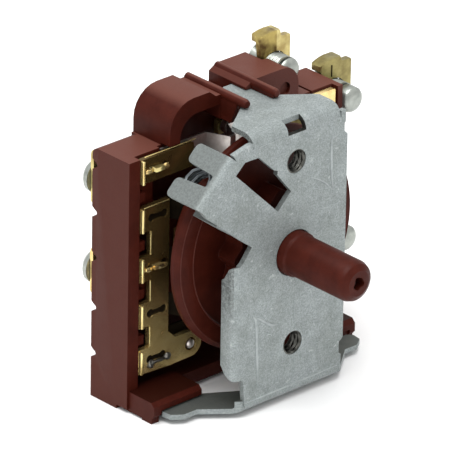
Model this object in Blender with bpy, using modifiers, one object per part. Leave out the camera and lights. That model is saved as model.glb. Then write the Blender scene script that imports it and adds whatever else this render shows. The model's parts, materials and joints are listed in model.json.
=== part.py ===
"""Rotary selector switch with a folded sheet bracket, a moulded housing and a cam-driven contact set.

All sizes below are in millimetres, and MM turns them into metres where a mesh is made.
Inside the switch, X runs to the right, Y runs into the body from the bracket's front face,
and Z runs up from the shaft's axis. The empty shaft_axis carries that frame. The world's
origin lies on the housing's bottom face, under the shaft's axis.
"""
import math

import bmesh
import bpy
from mathutils import Matrix

MM = 0.001
WELD = 0.000001

# Overall places
SHAFT_HEIGHT = 22.9
ORIGIN_DEPTH = 15.5
GAP = 0.3

# Bracket sheet
SHEET = 0.8
PLATE_LEFT = 11.4
PLATE_RIGHT = 9.7
PLATE_TOP = 19.1
TOP_FOLD_START = 18.2
TOP_FOLD_RADIUS = 2.0
EDGE_FOLD_RADIUS = 1.1
PLATE_RISE = 0.8
MOUNT_HOLE_SPACING = 28.0
MOUNT_HOLE_BORE = 3.6
COLLAR_DIAMETER = 5.2
COLLAR_DEPTH = 2.4
SIDE_FLANGE_DEPTH = 2.5
STRAP_DEPTH = 14.8
STRAP_LEFT = -0.8
STRAP_RIGHT = 2.6
TOP_FLANGE_LEFT = -8.1
TOP_FLANGE_RIGHT = 8.3
BOTTOM_ARM_REACH = 18.3
BOTTOM_ARM_DEPTH = 7.4

# Detent arm of the bracket, in a frame turned to its direction
ARM_TURN = math.radians(-45.0)
ARM_REACH = 21.4
END_FLANGE_WIDTH = 8.6
END_FLANGE_DEPTH = 6.9
END_NOTCH_WIDTH = 2.5
END_NOTCH_FLOOR = 1.2
CHANNEL_LOW = -2.65
CHANNEL_HIGH = 2.03
CHANNEL_START = 9.7
CHANNEL_REST = 0.7
CHANNEL_SPLAY = 0.9
CHANNEL_DEPTH = 5.2

# Shaft and cam disc
SHAFT_DIAMETER = 6.1
SHAFT_REACH = 13.0
SHAFT_TIP_HOLE = 1.7
JOURNAL_DIAMETER = 6.6
JOURNAL_FRONT = -1.4
SHAFT_SHOULDER = 9.0
SHAFT_SHOULDER_BACK = 1.9
SPINDLE_DIAMETER = 5.2
SPINDLE_FLAT = 2.0
RUNNING_GAP = 0.3
DISC_FRONT = 5.8
DISC_RIM = 3.2
DISC_STEP = 0.5
DISC_WEB = 1.8
TRACK_HEIGHT = 1.9
TRACK_LOW = 0.4
OUTER_TRACK_INSET = 1.9
OUTER_TRACK_WIDTH = 2.2
INNER_TRACK_INSET = 4.8
INNER_TRACK_WIDTH = 2.5
REAR_HUB_RADIUS = 4.2
REAR_HUB_END = 12.2
DETENT_POSITIONS = 12
STAR_RADIUS = 8.6
STAR_NOTCH = 1.2
STAR_FRONT = 3.0

# Detent plunger and spring
PLUNGER_PEG_LENGTH = 2.8
PLUNGER_PEG_DIAMETER = 1.6
PLUNGER_BACK = 5.2
PLUNGER_NOSE = 0.7
SPRING_DIAMETER = 5.0
SPRING_WIRE = 0.55
SPRING_TURNS = 4
SPRING_SHORTEST = 3.3
SPRING_PLACE = -0.45
SPRING_DEPTH = 4.6

# Housing
HOUSING_LEFT = -20.4
HOUSING_RIGHT = 19.9
HOUSING_FRONT = 11.8
HOUSING_BACK = 19.4
HOUSING_TOP = 15.6
RAIL_HEIGHT = 0.6
LEFT_WALL = 2.0
RIGHT_WALL = 0.9
TOP_WALL = 0.9
BOTTOM_WALL = 2.0
REAR_WALL = 1.9
BACK_CORNER = 1.1
RAIL_FRONT = 14.0
LEFT_FOOT = (-20.0, -11.0, 6.6)
RIGHT_FOOT = (13.0, 19.6, 7.75)
FOOT_RISE = 0.3
FOOT_HEIGHT = 3.0
ARM_ROOM = 8.2
HOOD_LEFT = -12.9
HOOD_TOP = 22.05
HOOD_RADIUS = 4.3
HOOD_RIGHT = -5.6
HOOD_WALL = 1.9
VALLEY_LEFT = -4.4
VALLEY_TOP = 21.1
VAULT_TOP = 19.6
VAULT_RADIUS = 3.2
VAULT_RIGHT = -3.6
RIB_LEFT = -3.4
ROOF_TOP = 19.1
ROOF_BOTTOM = 17.4
BEAD_RADIUS = 0.7
BEAD_HEIGHT = 20.95
BEAD_PLACES = (-2.85, 2.75)
BEAD_FRONT = 6.9
FIN_HALF = 0.6
TOWER_LEFT = 1.2
TOWER_SHOULDER = 20.7
TOWER_PLATEAU = 2.6
TOWER_RIGHT = 11.3
TOWER_TOP = 21.5
TOWER_CORNER = 3.0
TOWER_FRONT_WALL = 0.8
TOWER_NOTCH_PLACE = (8.7, 18.3)
TOWER_NOTCH_RADIUS = 1.0
TOWER_NOTCH_DEPTH = 0.5
TOP_GROOVE_PLACE = 14.7
TOP_GROOVE = 0.4
BOSS_RADIUS = 4.0
BOSS_FRONT = 12.8

# Contact rows
ROWS = (13.4, 6.0, -1.6, -8.75, -15.9)
ROW_RISES = (0.2, 0.0, 0.0, 0.0, 1.6)
PARTITIONS = (9.7, 2.2, -5.2, -12.3)
PARTITION = 1.4
PARTITION_RIGHT = -17.3
LEDGE_RIGHT = -13.7
BRASS = 0.8
BRASS_FRONT = 12.0
BRASS_LEFT = -18.1
TOOTH_HEIGHT = 3.8
COMB_SPINE_LEFT = -16.2
COMB_SPINE_RIGHT = -12.6
KEYHOLE_PLACE = -14.8
KEYHOLE_LENGTH = 2.4
KEYHOLE_LOBE = 0.62
LEAF = 0.3
LEAF_WIDTH = 3.4
LEAF_ROOT = -13.4
LEAF_TIP = 1.5
HUMP_HALF = 2.1
CONTACT_OFFSET = 4.5
CONTACT_RADIUS = 1.3
MOVING_CONTACT_HEIGHT = 0.9
FIXED_CONTACT_HEIGHT = 1.0
HUMP_PLACES = (-2.9, -9.8, -10.3, -10.0, -2.5)
RIVET_PLACE = (-8.3, -16.0)
RIVET_RADIUS = 0.7
RIGHT_PLATE_LEFT = 13.1
RIGHT_PLATES = (ROWS[0], ROWS[3])
RIGHT_KEYHOLE_PLACE = 15.9
RIGHT_LEDGE_LEFT = 15.6

# Terminals
TERMINAL_FRONT = 16.2
TERMINAL_SHEET = 0.9
STRIP_HALF = 1.4
SCREW_DIAMETER = 3.9
SCREW_ROOM = 2.3
SCREW_HEAD_DIAMETER = 6.0
SCREW_HEAD_HEIGHT = 2.6
LEFT_HEAD_HEIGHT = 1.9
SCREW_SEAT = 17.4
SCREW_END = 12.7
HEAD_ROOM = 3.3
HEAD_ROOM_FRONT = 17.2
TOP_TERMINAL = (10.9, 19.8)
UPPER_TERMINAL = (22.5, 12.2)
LOWER_TERMINAL = (22.5, -9.7)
LEFT_TERMINALS = (10.0, -3.9)
LEFT_TERMINAL_PLACE = -18.0
LEFT_TERMINAL_EDGE = -19.9
LEFT_TERMINAL_SHEET = 0.6
LEFT_SCREW_DIAMETER = 3.0
LEFT_SCREW_HEAD = 5.2
LEFT_SCREW_END = 15.2
TAB_PLACE = -15.0
TAB_HALF = 0.8
EAR_LEFT = 2.5
EAR_REACH = 1.1
UPPER_STRIP = (9.0, 14.2)
LOWER_STRIP = (-9.85, -7.35)
EDGE_NOTCHES = (13.0, 5.7, -1.2, -8.9, -16.0)

# Places worked out from the sizes above
FRONT_AXIS = Matrix.Rotation(math.radians(90.0), 4, "X")
TURNED_AXIS = Matrix.Rotation(math.radians(-90.0), 4, "X")
SIDE_AXIS = Matrix(((0, 0, 1, 0), (1, 0, 0, 0), (0, 1, 0, 0), (0, 0, 0, 1)))
FLANGE_TOP = TOP_FOLD_START + TOP_FOLD_RADIUS
PLATE_BOTTOM = SHAFT_HEIGHT - PLATE_RISE
HOUSING_BOTTOM = RAIL_HEIGHT - SHAFT_HEIGHT
FOOT_BOTTOM = FOOT_RISE - SHAFT_HEIGHT
FOOT_TOP = FOOT_BOTTOM + FOOT_HEIGHT
SPRING_START = ARM_REACH - SHEET - GAP - SPRING_SHORTEST
PLUNGER_SHOULDER = SPRING_START - GAP - STAR_NOTCH
CHANNEL_END = PLUNGER_SHOULDER + CHANNEL_REST
DISC_RADIUS = SPRING_START - GAP
OUTER_TRACK = (DISC_RADIUS - OUTER_TRACK_INSET - OUTER_TRACK_WIDTH, DISC_RADIUS - OUTER_TRACK_INSET)
INNER_TRACK = (DISC_RADIUS - INNER_TRACK_INSET - INNER_TRACK_WIDTH, DISC_RADIUS - INNER_TRACK_INSET)
CAVITY_BACK = HOUSING_BACK - REAR_WALL
CAVITY_LEFT = HOUSING_LEFT + LEFT_WALL
CAVITY_RIGHT = HOUSING_RIGHT - RIGHT_WALL
CAVITY_TOP = HOUSING_TOP - TOP_WALL
DISC_BACK = DISC_FRONT + DISC_WEB
TRACK_TOP = DISC_BACK + TRACK_HEIGHT
STAR_FLOOR = STAR_RADIUS - STAR_NOTCH
BRASS_BACK = BRASS_FRONT + BRASS
LEDGE_FRONT = BRASS_BACK + GAP
LEFT_TERMINAL_FRONT = HOUSING_BACK + GAP
PLUNGER_FRONT = SHEET + GAP


# Scene and materials

def clear_scene():
    for item in list(bpy.data.objects):
        bpy.data.objects.remove(item, do_unlink=True)


def new_collection(name):
    collection = bpy.data.collections.new(name)
    bpy.context.scene.collection.children.link(collection)
    return collection


def material(name, colour, roughness, metallic=0.0):
    finish = bpy.data.materials.new(name)
    finish.use_nodes = True
    shader = finish.node_tree.nodes["Principled BSDF"]
    shader.inputs["Base Color"].default_value = (*colour, 1.0)
    shader.inputs["Roughness"].default_value = roughness
    shader.inputs["Metallic"].default_value = metallic
    finish.diffuse_color = (*colour, 1.0)
    return finish


clear_scene()
PARTS = new_collection("selector_switch")
CUTTERS = new_collection("selector_switch_cutters")
PHENOLIC = material("phenolic", (0.155, 0.045, 0.038), 0.42)
PHENOLIC_DARK = material("phenolic_rotor", (0.135, 0.036, 0.030), 0.40)
GALVANISED = material("galvanised_sheet", (0.52, 0.55, 0.55), 0.42, 1.0)
BRASS_FINISH = material("brass", (0.72, 0.53, 0.22), 0.32, 1.0)
ZINC = material("zinc_plated_steel", (0.66, 0.68, 0.68), 0.28, 1.0)
SPRING_STEEL = material("spring_steel", (0.20, 0.21, 0.22), 0.35, 1.0)
SILVER = material("contact_silver", (0.82, 0.80, 0.76), 0.25, 1.0)

SHAFT_AXIS = bpy.data.objects.new("shaft_axis", None)
SHAFT_AXIS.empty_display_size = 5 * MM
SHAFT_AXIS.location = (0, -ORIGIN_DEPTH * MM, SHAFT_HEIGHT * MM)
PARTS.objects.link(SHAFT_AXIS)


# Outlines

def arc(centre, radius, start, end, steps):
    """Points on an arc, with its angles in degrees."""
    points = []
    for index in range(steps + 1):
        angle = math.radians(start + (end - start) * index / steps)
        points.append((centre[0] + radius * math.cos(angle), centre[1] + radius * math.sin(angle)))
    return points


def circle(centre, radius, steps=24):
    return arc(centre, radius, 0, 360, steps)[:-1]


def rectangle(left, right, low, high):
    return [(left, low), (right, low), (right, high), (left, high)]


def rounded(points, radius, steps=2):
    """The outline with each corner rounded, by less where its sides are short."""
    result = []
    count = len(points)
    for index, corner in enumerate(points):
        before = points[index - 1]
        after = points[(index + 1) % count]
        back = (before[0] - corner[0], before[1] - corner[1])
        ahead = (after[0] - corner[0], after[1] - corner[1])
        back_length = math.hypot(*back)
        ahead_length = math.hypot(*ahead)
        reach = min(radius, 0.45 * back_length, 0.45 * ahead_length)
        start = (corner[0] + back[0] * reach / back_length, corner[1] + back[1] * reach / back_length)
        end = (corner[0] + ahead[0] * reach / ahead_length, corner[1] + ahead[1] * reach / ahead_length)
        for step in range(steps + 1):
            share = step / steps
            weights = ((1 - share) ** 2, 2 * share * (1 - share), share ** 2)
            result.append(tuple(weights[0] * start[axis] + weights[1] * corner[axis]
                                + weights[2] * end[axis] for axis in range(2)))
    return result


def turned_point(along, reach):
    """A point of the detent arm's frame, as X and Z: along is across the arm, reach is from the shaft."""
    cosine = math.cos(ARM_TURN)
    sine = math.sin(ARM_TURN)
    return along * cosine + reach * sine, reach * cosine - along * sine


def keyhole(centre, length=KEYHOLE_LENGTH):
    """Two round holes joined by a narrow slot, as three overlapping outlines made into one."""
    half = length / 2
    right = arc((centre[0] + half, centre[1]), KEYHOLE_LOBE, -140, 140, 8)
    left = arc((centre[0] - half, centre[1]), KEYHOLE_LOBE, 40, 320, 8)
    return right + left


def fold_profile(start, radius, run, thickness, steps=5):
    """A sheet that rises to start and folds through a right angle, as depth and height."""
    inner = radius - thickness
    centre = (radius, start)
    outside = arc(centre, radius, 180, 90, steps)
    inside = arc(centre, inner, 90, 180, steps)
    foot = start - thickness
    return [(0, foot)] + outside + [(run, start + radius), (run, start + inner)] + inside + [(thickness, foot)]


# Solids

def adopt(item, collection=None):
    (collection or PARTS).objects.link(item)
    item.parent = SHAFT_AXIS
    return item


def plain_solid(source, name, matrix):
    """A welded mesh object from what a curve or a modified object looks like."""
    graph = bpy.context.evaluated_depsgraph_get()
    mesh = bpy.data.meshes.new_from_object(source.evaluated_get(graph))
    shape = bmesh.new()
    shape.from_mesh(mesh)
    bmesh.ops.remove_doubles(shape, verts=shape.verts, dist=WELD)
    bmesh.ops.recalc_face_normals(shape, faces=shape.faces)
    shape.to_mesh(mesh)
    shape.free()
    bpy.data.objects.remove(source, do_unlink=True)
    mesh.name = name
    solid = bpy.data.objects.new(name, mesh)
    solid.matrix_basis = matrix
    return adopt(solid)


def prism(name, loops, low, high, facing="front", turn=0.0):
    """A flat outline with its holes, drawn straight through from low to high."""
    curve = bpy.data.curves.new(name, "CURVE")
    curve.dimensions = "2D"
    curve.fill_mode = "BOTH"
    curve.extrude = (high - low) / 2 * MM
    for loop in loops:
        spline = curve.splines.new("POLY")
        spline.points.add(len(loop) - 1)
        for point, place in zip(spline.points, loop):
            point.co = (place[0] * MM, place[1] * MM, 0, 1)
        spline.use_cyclic_u = True
    guide = bpy.data.objects.new(name + "_outline", curve)
    PARTS.objects.link(guide)
    middle = (low + high) / 2 * MM
    places = {
        "front": Matrix.Translation((0, middle, 0)) @ FRONT_AXIS,
        "top": Matrix.Translation((0, 0, middle)),
        "side": Matrix.Translation((middle, 0, 0)) @ SIDE_AXIS,
    }
    return plain_solid(guide, name, Matrix.Rotation(turn, 4, "Y") @ places[facing])


def block(name, low, high, turn=0.0):
    """A box between two corners."""
    shape = bmesh.new()
    bmesh.ops.create_cube(shape, size=1)
    size = [(high[axis] - low[axis]) * MM for axis in range(3)]
    centre = [(high[axis] + low[axis]) / 2 * MM for axis in range(3)]
    bmesh.ops.scale(shape, vec=size, verts=shape.verts)
    bmesh.ops.translate(shape, vec=centre, verts=shape.verts)
    mesh = bpy.data.meshes.new(name)
    shape.to_mesh(mesh)
    shape.free()
    solid = bpy.data.objects.new(name, mesh)
    solid.rotation_euler = (0, turn, 0)
    return adopt(solid)


def rod(name, centre, radius, front, back, steps=24, end_radius=None):
    """A cylinder or cone along Y, with its centre given as X and Z."""
    shape = bmesh.new()
    bmesh.ops.create_cone(shape, cap_ends=True, segments=steps, depth=(back - front) * MM,
                          radius1=(radius if end_radius is None else end_radius) * MM, radius2=radius * MM)
    mesh = bpy.data.meshes.new(name)
    shape.to_mesh(mesh)
    shape.free()
    mesh.shade_smooth()
    mesh.set_sharp_from_angle(angle=math.radians(40))
    solid = bpy.data.objects.new(name, mesh)
    middle = (centre[0] * MM, (front + back) / 2 * MM, centre[1] * MM)
    solid.matrix_basis = Matrix.Translation(middle) @ FRONT_AXIS
    return adopt(solid)


def turned(name, profile, steps=32, centre=(0, 0)):
    """A profile of radius and depth, turned about an axis along Y."""
    mesh = bpy.data.meshes.new(name)
    places = [(radius * MM, 0, depth * MM) for radius, depth in profile]
    mesh.from_pydata(places, [(index, index + 1) for index in range(len(places) - 1)], [])
    guide = bpy.data.objects.new(name + "_profile", mesh)
    PARTS.objects.link(guide)
    screw = guide.modifiers.new("Turn", "SCREW")
    screw.axis = "Z"
    screw.steps = steps
    screw.render_steps = steps
    screw.use_merge_vertices = True
    screw.merge_threshold = WELD
    matrix = Matrix.Translation((centre[0] * MM, 0, centre[1] * MM)) @ TURNED_AXIS
    solid = plain_solid(guide, name, matrix)
    solid.data.shade_smooth()
    solid.data.set_sharp_from_angle(angle=math.radians(35))
    return solid


def combine(target, operation, pieces):
    for piece in pieces:
        change = target.modifiers.new(piece.name, "BOOLEAN")
        change.operation = operation
        change.solver = "EXACT"
        change.object = piece
        piece.hide_render = True
        piece.display_type = "WIRE"
        PARTS.objects.unlink(piece)
        CUTTERS.objects.link(piece)
    return target


def unite(target, *pieces):
    return combine(target, "UNION", pieces)


def cut(target, *pieces):
    return combine(target, "DIFFERENCE", pieces)


def overlap(target, *pieces):
    return combine(target, "INTERSECT", pieces)


def finish(item, surface):
    item.data.materials.clear()
    item.data.materials.append(surface)
    return item


# Bracket

def plate_outline():
    """The front plate with its detent arm, as far as the folds at its edges."""
    fold = ARM_REACH - EDGE_FOLD_RADIUS
    half = END_FLANGE_WIDTH / 2
    left = -PLATE_LEFT + EDGE_FOLD_RADIUS
    low = -PLATE_BOTTOM + EDGE_FOLD_RADIUS
    return [
        (-9.0, low), (-9.3, low + 3.8), (left, low + 4.8), (left, 0.9), (-9.75, 1.25), (-8.1, 3.35), (-10.5, 5.2),
        turned_point(-4.17, ARM_REACH - 4.9), turned_point(-4.5, ARM_REACH - 2.3),
        turned_point(-half, fold), turned_point(half, fold), turned_point(4.6, ARM_REACH),
        (-8.8, PLATE_TOP), (-8.2, PLATE_TOP),
        (-8.2, TOP_FOLD_START), (TOP_FLANGE_RIGHT + 0.1, TOP_FOLD_START),
        (TOP_FLANGE_RIGHT + 0.1, PLATE_TOP), (9.3, PLATE_TOP), (9.3, 17.3), (9.1, 17.1), (9.1, 15.9),
        (PLATE_RIGHT, 15.3), (PLATE_RIGHT, low + 4.7), (9.0, low + 4.2), (9.0, low + 2.4), (9.4, low + 2.2),
        (9.4, low + 0.5), (8.8, low + 0.3), (8.7, low),
    ]


def slanted_window():
    return [turned_point(2.7, ARM_REACH - 2.6), (-3.3, 7.3), (-0.9, 9.7), (-3.6, 13.0), (-3.5, 13.6), (-4.2, 13.9),
            (-7.1, 16.7), turned_point(5.0, ARM_REACH - 2.7)]


def top_flange():
    """The fold at the plate's top and the flange behind it, with the strap that reaches the housing."""
    profile = fold_profile(TOP_FOLD_START, TOP_FOLD_RADIUS, STRAP_DEPTH, SHEET)
    strip = prism("top_flange", [profile], TOP_FLANGE_LEFT, TOP_FLANGE_RIGHT, "side")
    plan = [
        (TOP_FLANGE_LEFT - 1, -1), (TOP_FLANGE_RIGHT + 1, -1), (TOP_FLANGE_RIGHT + 1, 3.4),
        (TOP_FLANGE_RIGHT - 0.4, 4.8), (4.0, 7.8), (STRAP_RIGHT + 0.6, 8.8), (STRAP_RIGHT, 9.6),
        (STRAP_RIGHT, STRAP_DEPTH - 0.7), (STRAP_RIGHT - 0.8, STRAP_DEPTH + 0.1),
        (STRAP_LEFT + 0.6, STRAP_DEPTH + 0.1), (STRAP_LEFT, STRAP_DEPTH - 0.5), (STRAP_LEFT, 10.4),
        (-1.4, 9.6), (-3.3, 8.0), (TOP_FLANGE_LEFT - 0.1, 4.5), (TOP_FLANGE_LEFT - 1, 4.5),
    ]
    return overlap(strip, prism("top_flange_plan", [plan], TOP_FOLD_START - 3, FLANGE_TOP + 1, "top"))


def bottom_flange():
    """The fold at the plate's bottom and the two arms that clip under the housing's feet."""
    start = PLATE_BOTTOM - EDGE_FOLD_RADIUS
    profile = fold_profile(start, EDGE_FOLD_RADIUS, BOTTOM_ARM_DEPTH + 1, SHEET)
    profile = [(depth, -height) for depth, height in profile]
    strip = prism("bottom_flange", [profile], -BOTTOM_ARM_REACH - 1, BOTTOM_ARM_REACH + 1, "side")
    half = [(8.8, -1), (8.8, 0.2), (9.4, 0.2), (14.2, 4.1), (16.6, 4.1), (BOTTOM_ARM_REACH - 0.2, 5.2),
            (BOTTOM_ARM_REACH, 6.8), (BOTTOM_ARM_REACH - 0.8, BOTTOM_ARM_DEPTH),
            (10.6, BOTTOM_ARM_DEPTH), (5.3, 4.1)]
    plan = half + [(-x, y) for x, y in reversed(half)]
    return overlap(strip, prism("bottom_flange_plan", [plan], -PLATE_BOTTOM - 1, -start + 2, "top"))


def side_flange():
    """The flange folded back along the plate's left edge, rounded at its lower end."""
    start = PLATE_LEFT - EDGE_FOLD_RADIUS
    profile = fold_profile(start, EDGE_FOLD_RADIUS, SIDE_FLANGE_DEPTH, SHEET, 4)
    plan = [(-height, depth) for depth, height in profile]
    foot = 5.1 - PLATE_BOTTOM
    strip = prism("side_flange", [plan], foot, 2, "top")
    trim = [(-1, foot), (0.4, foot + 0.4), (1.6, foot + 1.1), (2.3, foot + 2.1), (SIDE_FLANGE_DEPTH + 1, foot + 3.4),
            (SIDE_FLANGE_DEPTH + 1, -1.9), (SIDE_FLANGE_DEPTH - 0.4, -1.3), (1.0, 0.6), (0.2, 0.9), (-1, 0.9)]
    return overlap(strip, prism("side_flange_trim", [trim], -PLATE_LEFT - 1, -start + 1.5, "side"))


def end_flange():
    """The detent arm's end, folded back and notched into two prongs."""
    start = ARM_REACH - EDGE_FOLD_RADIUS
    profile = fold_profile(start, EDGE_FOLD_RADIUS, END_FLANGE_DEPTH, SHEET)
    half = END_FLANGE_WIDTH / 2
    flange = prism("end_flange", [profile], -half, half, "side", ARM_TURN)
    notch = END_NOTCH_WIDTH / 2
    opening = rounded([(-notch * 0.75, END_NOTCH_FLOOR), (notch * 0.75, END_NOTCH_FLOOR),
                       (notch + 0.1, END_FLANGE_DEPTH + 1), (-notch - 0.1, END_FLANGE_DEPTH + 1)], 0.4)
    return cut(flange, prism("end_notch", [opening], start, ARM_REACH + 1, "top", ARM_TURN))


def channel_wall(name, along, outward, splay):
    """One side of the plunger's channel, bent back from an edge of the detent arm."""
    far = along + outward * SHEET
    outline = [(along, CHANNEL_START), (far, CHANNEL_START), (far + splay, CHANNEL_END), (along + splay, CHANNEL_END)]
    return prism(name, [outline], SHEET / 2, CHANNEL_DEPTH, "front", ARM_TURN)


def make_bracket():
    half = MOUNT_HOLE_SPACING / 2
    bore = MOUNT_HOLE_BORE / 2
    shaft_hole = circle((0, 0), JOURNAL_DIAMETER / 2 + RUNNING_GAP / 2, 32)
    bracket = prism("bracket", [plate_outline(), slanted_window(), shaft_hole], 0, SHEET)
    unite(bracket, top_flange(), bottom_flange(), side_flange(), end_flange(),
          channel_wall("channel_wall_upper", CHANNEL_HIGH, 1, 0),
          channel_wall("channel_wall_lower", CHANNEL_LOW, -1, -CHANNEL_SPLAY))
    for name, height in (("upper", half), ("lower", -half)):
        unite(bracket, rod("collar_" + name, (0, height), COLLAR_DIAMETER / 2, SHEET / 2, COLLAR_DEPTH))
        cut(bracket, rod("mount_bore_" + name, (0, height), bore, -1, COLLAR_DEPTH + 1))
    window = block("fold_window", (-1.6, -1, TOP_FOLD_START + 0.1), (1.75, 1.6, FLANGE_TOP + 1))
    return finish(cut(bracket, window), GALVANISED)


# Rotor

def star_outline():
    """The detent wheel: smooth notches, one of them facing the detent arm."""
    steps = DETENT_POSITIONS * 8
    points = []
    for index in range(steps):
        angle = 2 * math.pi * index / steps
        wave = 0.5 + 0.5 * math.cos(DETENT_POSITIONS * (angle - math.radians(135)))
        radius = STAR_RADIUS - STAR_NOTCH * wave
        points.append((radius * math.cos(angle), radius * math.sin(angle)))
    return points


def flatted(radius, flat, steps=8):
    """A circle cut by two opposite flats."""
    end = math.degrees(math.asin(flat / radius))
    return arc((0, 0), radius, -end, end, steps) + arc((0, 0), radius, 180 - end, 180 + end, steps)


def track_gap(name, radii, start, end):
    """A low stretch in a cam track."""
    middle = (radii[0] - 0.3, radii[1] + 0.3)
    outline = arc((0, 0), middle[0], start, end, 6) + arc((0, 0), middle[1], end, start, 6)
    return prism(name, [outline], DISC_BACK + TRACK_LOW, TRACK_TOP + 1)


def make_cam_disc():
    inner_low, inner_high = INNER_TRACK
    outer_low, outer_high = OUTER_TRACK
    step = DISC_FRONT + DISC_STEP
    profile = [
        (0, REAR_HUB_END), (REAR_HUB_RADIUS, REAR_HUB_END), (REAR_HUB_RADIUS, DISC_BACK),
        (inner_low, DISC_BACK), (inner_low + 0.3, TRACK_TOP), (inner_high - 0.3, TRACK_TOP),
        (inner_high, DISC_BACK), (outer_low, DISC_BACK), (outer_low + 0.3, TRACK_TOP),
        (outer_high - 0.3, TRACK_TOP), (outer_high, DISC_BACK), (DISC_RADIUS, DISC_BACK - 0.3),
        (DISC_RADIUS, DISC_FRONT + 0.7), (DISC_RADIUS - 0.7, DISC_FRONT),
        (DISC_RADIUS - DISC_RIM + 0.3, DISC_FRONT), (DISC_RADIUS - DISC_RIM, step), (0, step),
    ]
    disc = turned("cam_disc", profile, 60)
    unite(disc, prism("star_wheel", [star_outline()], STAR_FRONT, step + 0.5))
    for index, (start, end) in enumerate(((20, 62), (110, 140), (200, 250), (300, 325))):
        cut(disc, track_gap(f"inner_gap_{index}", INNER_TRACK, start, end))
    for index, (start, end) in enumerate(((40, 95), (165, 190), (230, 285))):
        cut(disc, track_gap(f"outer_gap_{index}", OUTER_TRACK, start, end))
    bore = flatted(SPINDLE_DIAMETER / 2 + GAP, SPINDLE_FLAT + GAP)
    cut(disc, prism("spindle_bore", [bore], STAR_FRONT - 1, REAR_HUB_END + 1))
    return finish(disc, PHENOLIC_DARK)


def make_shaft():
    radius = SHAFT_DIAMETER / 2
    journal = JOURNAL_DIAMETER / 2
    shoulder = SHAFT_SHOULDER / 2
    spindle = SPINDLE_DIAMETER / 2
    hole = SHAFT_TIP_HOLE / 2
    tip = -SHAFT_REACH
    back = HOUSING_BACK - 0.8
    shoulder_front = SHEET + GAP
    shoulder_back = SHAFT_SHOULDER_BACK
    dome = [(hole, tip + 2.2), (hole, tip), (radius * 0.62, tip), (radius * 0.9, tip + 0.5), (radius, tip + 1.3)]
    profile = [(0, tip + 2.2)] + dome + [
        (radius, JOURNAL_FRONT), (journal, JOURNAL_FRONT + 0.3), (journal, shoulder_front),
        (shoulder, shoulder_front), (shoulder, shoulder_back), (spindle, shoulder_back), (spindle, back), (0, back),
    ]
    shaft = turned("shaft", profile, 32)
    keyed = REAR_HUB_END + 0.2
    for name, side in (("upper", 1), ("lower", -1)):
        low = min(side * SPINDLE_FLAT, side * (spindle + 1))
        high = max(side * SPINDLE_FLAT, side * (spindle + 1))
        cut(shaft, block("flat_" + name, (-5, shoulder_back, low), (5, keyed, high)))
    return finish(shaft, PHENOLIC_DARK)


# Detent

def make_plunger():
    """A block that slides in the arm's channel, with a nose for the star wheel and a peg for the spring."""
    low = CHANNEL_LOW + GAP
    high = CHANNEL_HIGH - GAP
    tip = STAR_FLOOR + GAP
    outline = arc((0, tip + PLUNGER_NOSE), PLUNGER_NOSE, 225, 315, 4)
    outline += [(high, tip + 2.0), (high, PLUNGER_SHOULDER), (low, PLUNGER_SHOULDER), (low, tip + 2.4)]
    plunger = prism("detent_plunger", [outline], PLUNGER_FRONT, PLUNGER_BACK, "front", ARM_TURN)
    peg = circle((SPRING_PLACE, SPRING_DEPTH), PLUNGER_PEG_DIAMETER / 2, 16)
    end = PLUNGER_SHOULDER + PLUNGER_PEG_LENGTH
    unite(plunger, prism("plunger_peg", [peg], PLUNGER_SHOULDER - 0.5, end, "top", ARM_TURN))
    return finish(plunger, PHENOLIC_DARK)


def make_spring():
    """A compression spring with closed end turns, as short as the star wheel makes it."""
    radius = (SPRING_DIAMETER - SPRING_WIRE) / 2
    start = SPRING_START + SPRING_WIRE / 2
    end = ARM_REACH - SHEET - GAP - SPRING_WIRE / 2
    pitch = (end - start - 2 * SPRING_WIRE * 1.1) / (SPRING_TURNS - 2)
    per_turn = 12
    curve = bpy.data.curves.new("detent_spring", "CURVE")
    curve.dimensions = "3D"
    curve.bevel_depth = SPRING_WIRE / 2 * MM
    curve.bevel_resolution = 2
    curve.use_fill_caps = True
    spline = curve.splines.new("POLY")
    count = SPRING_TURNS * per_turn + 1
    spline.points.add(count - 1)
    height = start
    for index, point in enumerate(spline.points):
        turn = index / per_turn
        closed = turn < 1 or turn >= SPRING_TURNS - 1
        angle = 2 * math.pi * turn
        across = SPRING_PLACE + radius * math.cos(angle)
        depth = SPRING_DEPTH + radius * math.sin(angle)
        point.co = (across * MM, depth * MM, height * MM, 1)
        height += (SPRING_WIRE * 1.1 if closed else pitch) / per_turn
    guide = bpy.data.objects.new("detent_spring_wire", curve)
    PARTS.objects.link(guide)
    spring = plain_solid(guide, "detent_spring", Matrix.Rotation(ARM_TURN, 4, "Y"))
    spring.data.shade_smooth()
    return finish(spring, SPRING_STEEL)


# Housing

def silhouette():
    """The housing from the front: box, hood at the upper left, roof under the strap, tower."""
    hood = arc((HOOD_LEFT + HOOD_RADIUS, HOOD_TOP - HOOD_RADIUS), HOOD_RADIUS, 180, 90, 6)
    corner = arc((TOWER_RIGHT - TOWER_CORNER, TOWER_TOP - TOWER_CORNER), TOWER_CORNER, 90, 0, 6)
    return ([(HOUSING_LEFT, -SHAFT_HEIGHT), (HOUSING_LEFT, HOUSING_TOP), (HOOD_LEFT, HOUSING_TOP)] + hood
            + [(HOOD_RIGHT, HOOD_TOP), (VALLEY_LEFT, VALLEY_TOP), (RIB_LEFT, VALLEY_TOP), (RIB_LEFT, ROOF_TOP),
               (TOWER_LEFT, ROOF_TOP), (TOWER_LEFT, TOWER_SHOULDER), (TOWER_PLATEAU, TOWER_TOP)] + corner
            + [(TOWER_RIGHT, HOUSING_TOP), (HOUSING_RIGHT, HOUSING_TOP), (HOUSING_RIGHT, -SHAFT_HEIGHT)])


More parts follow.
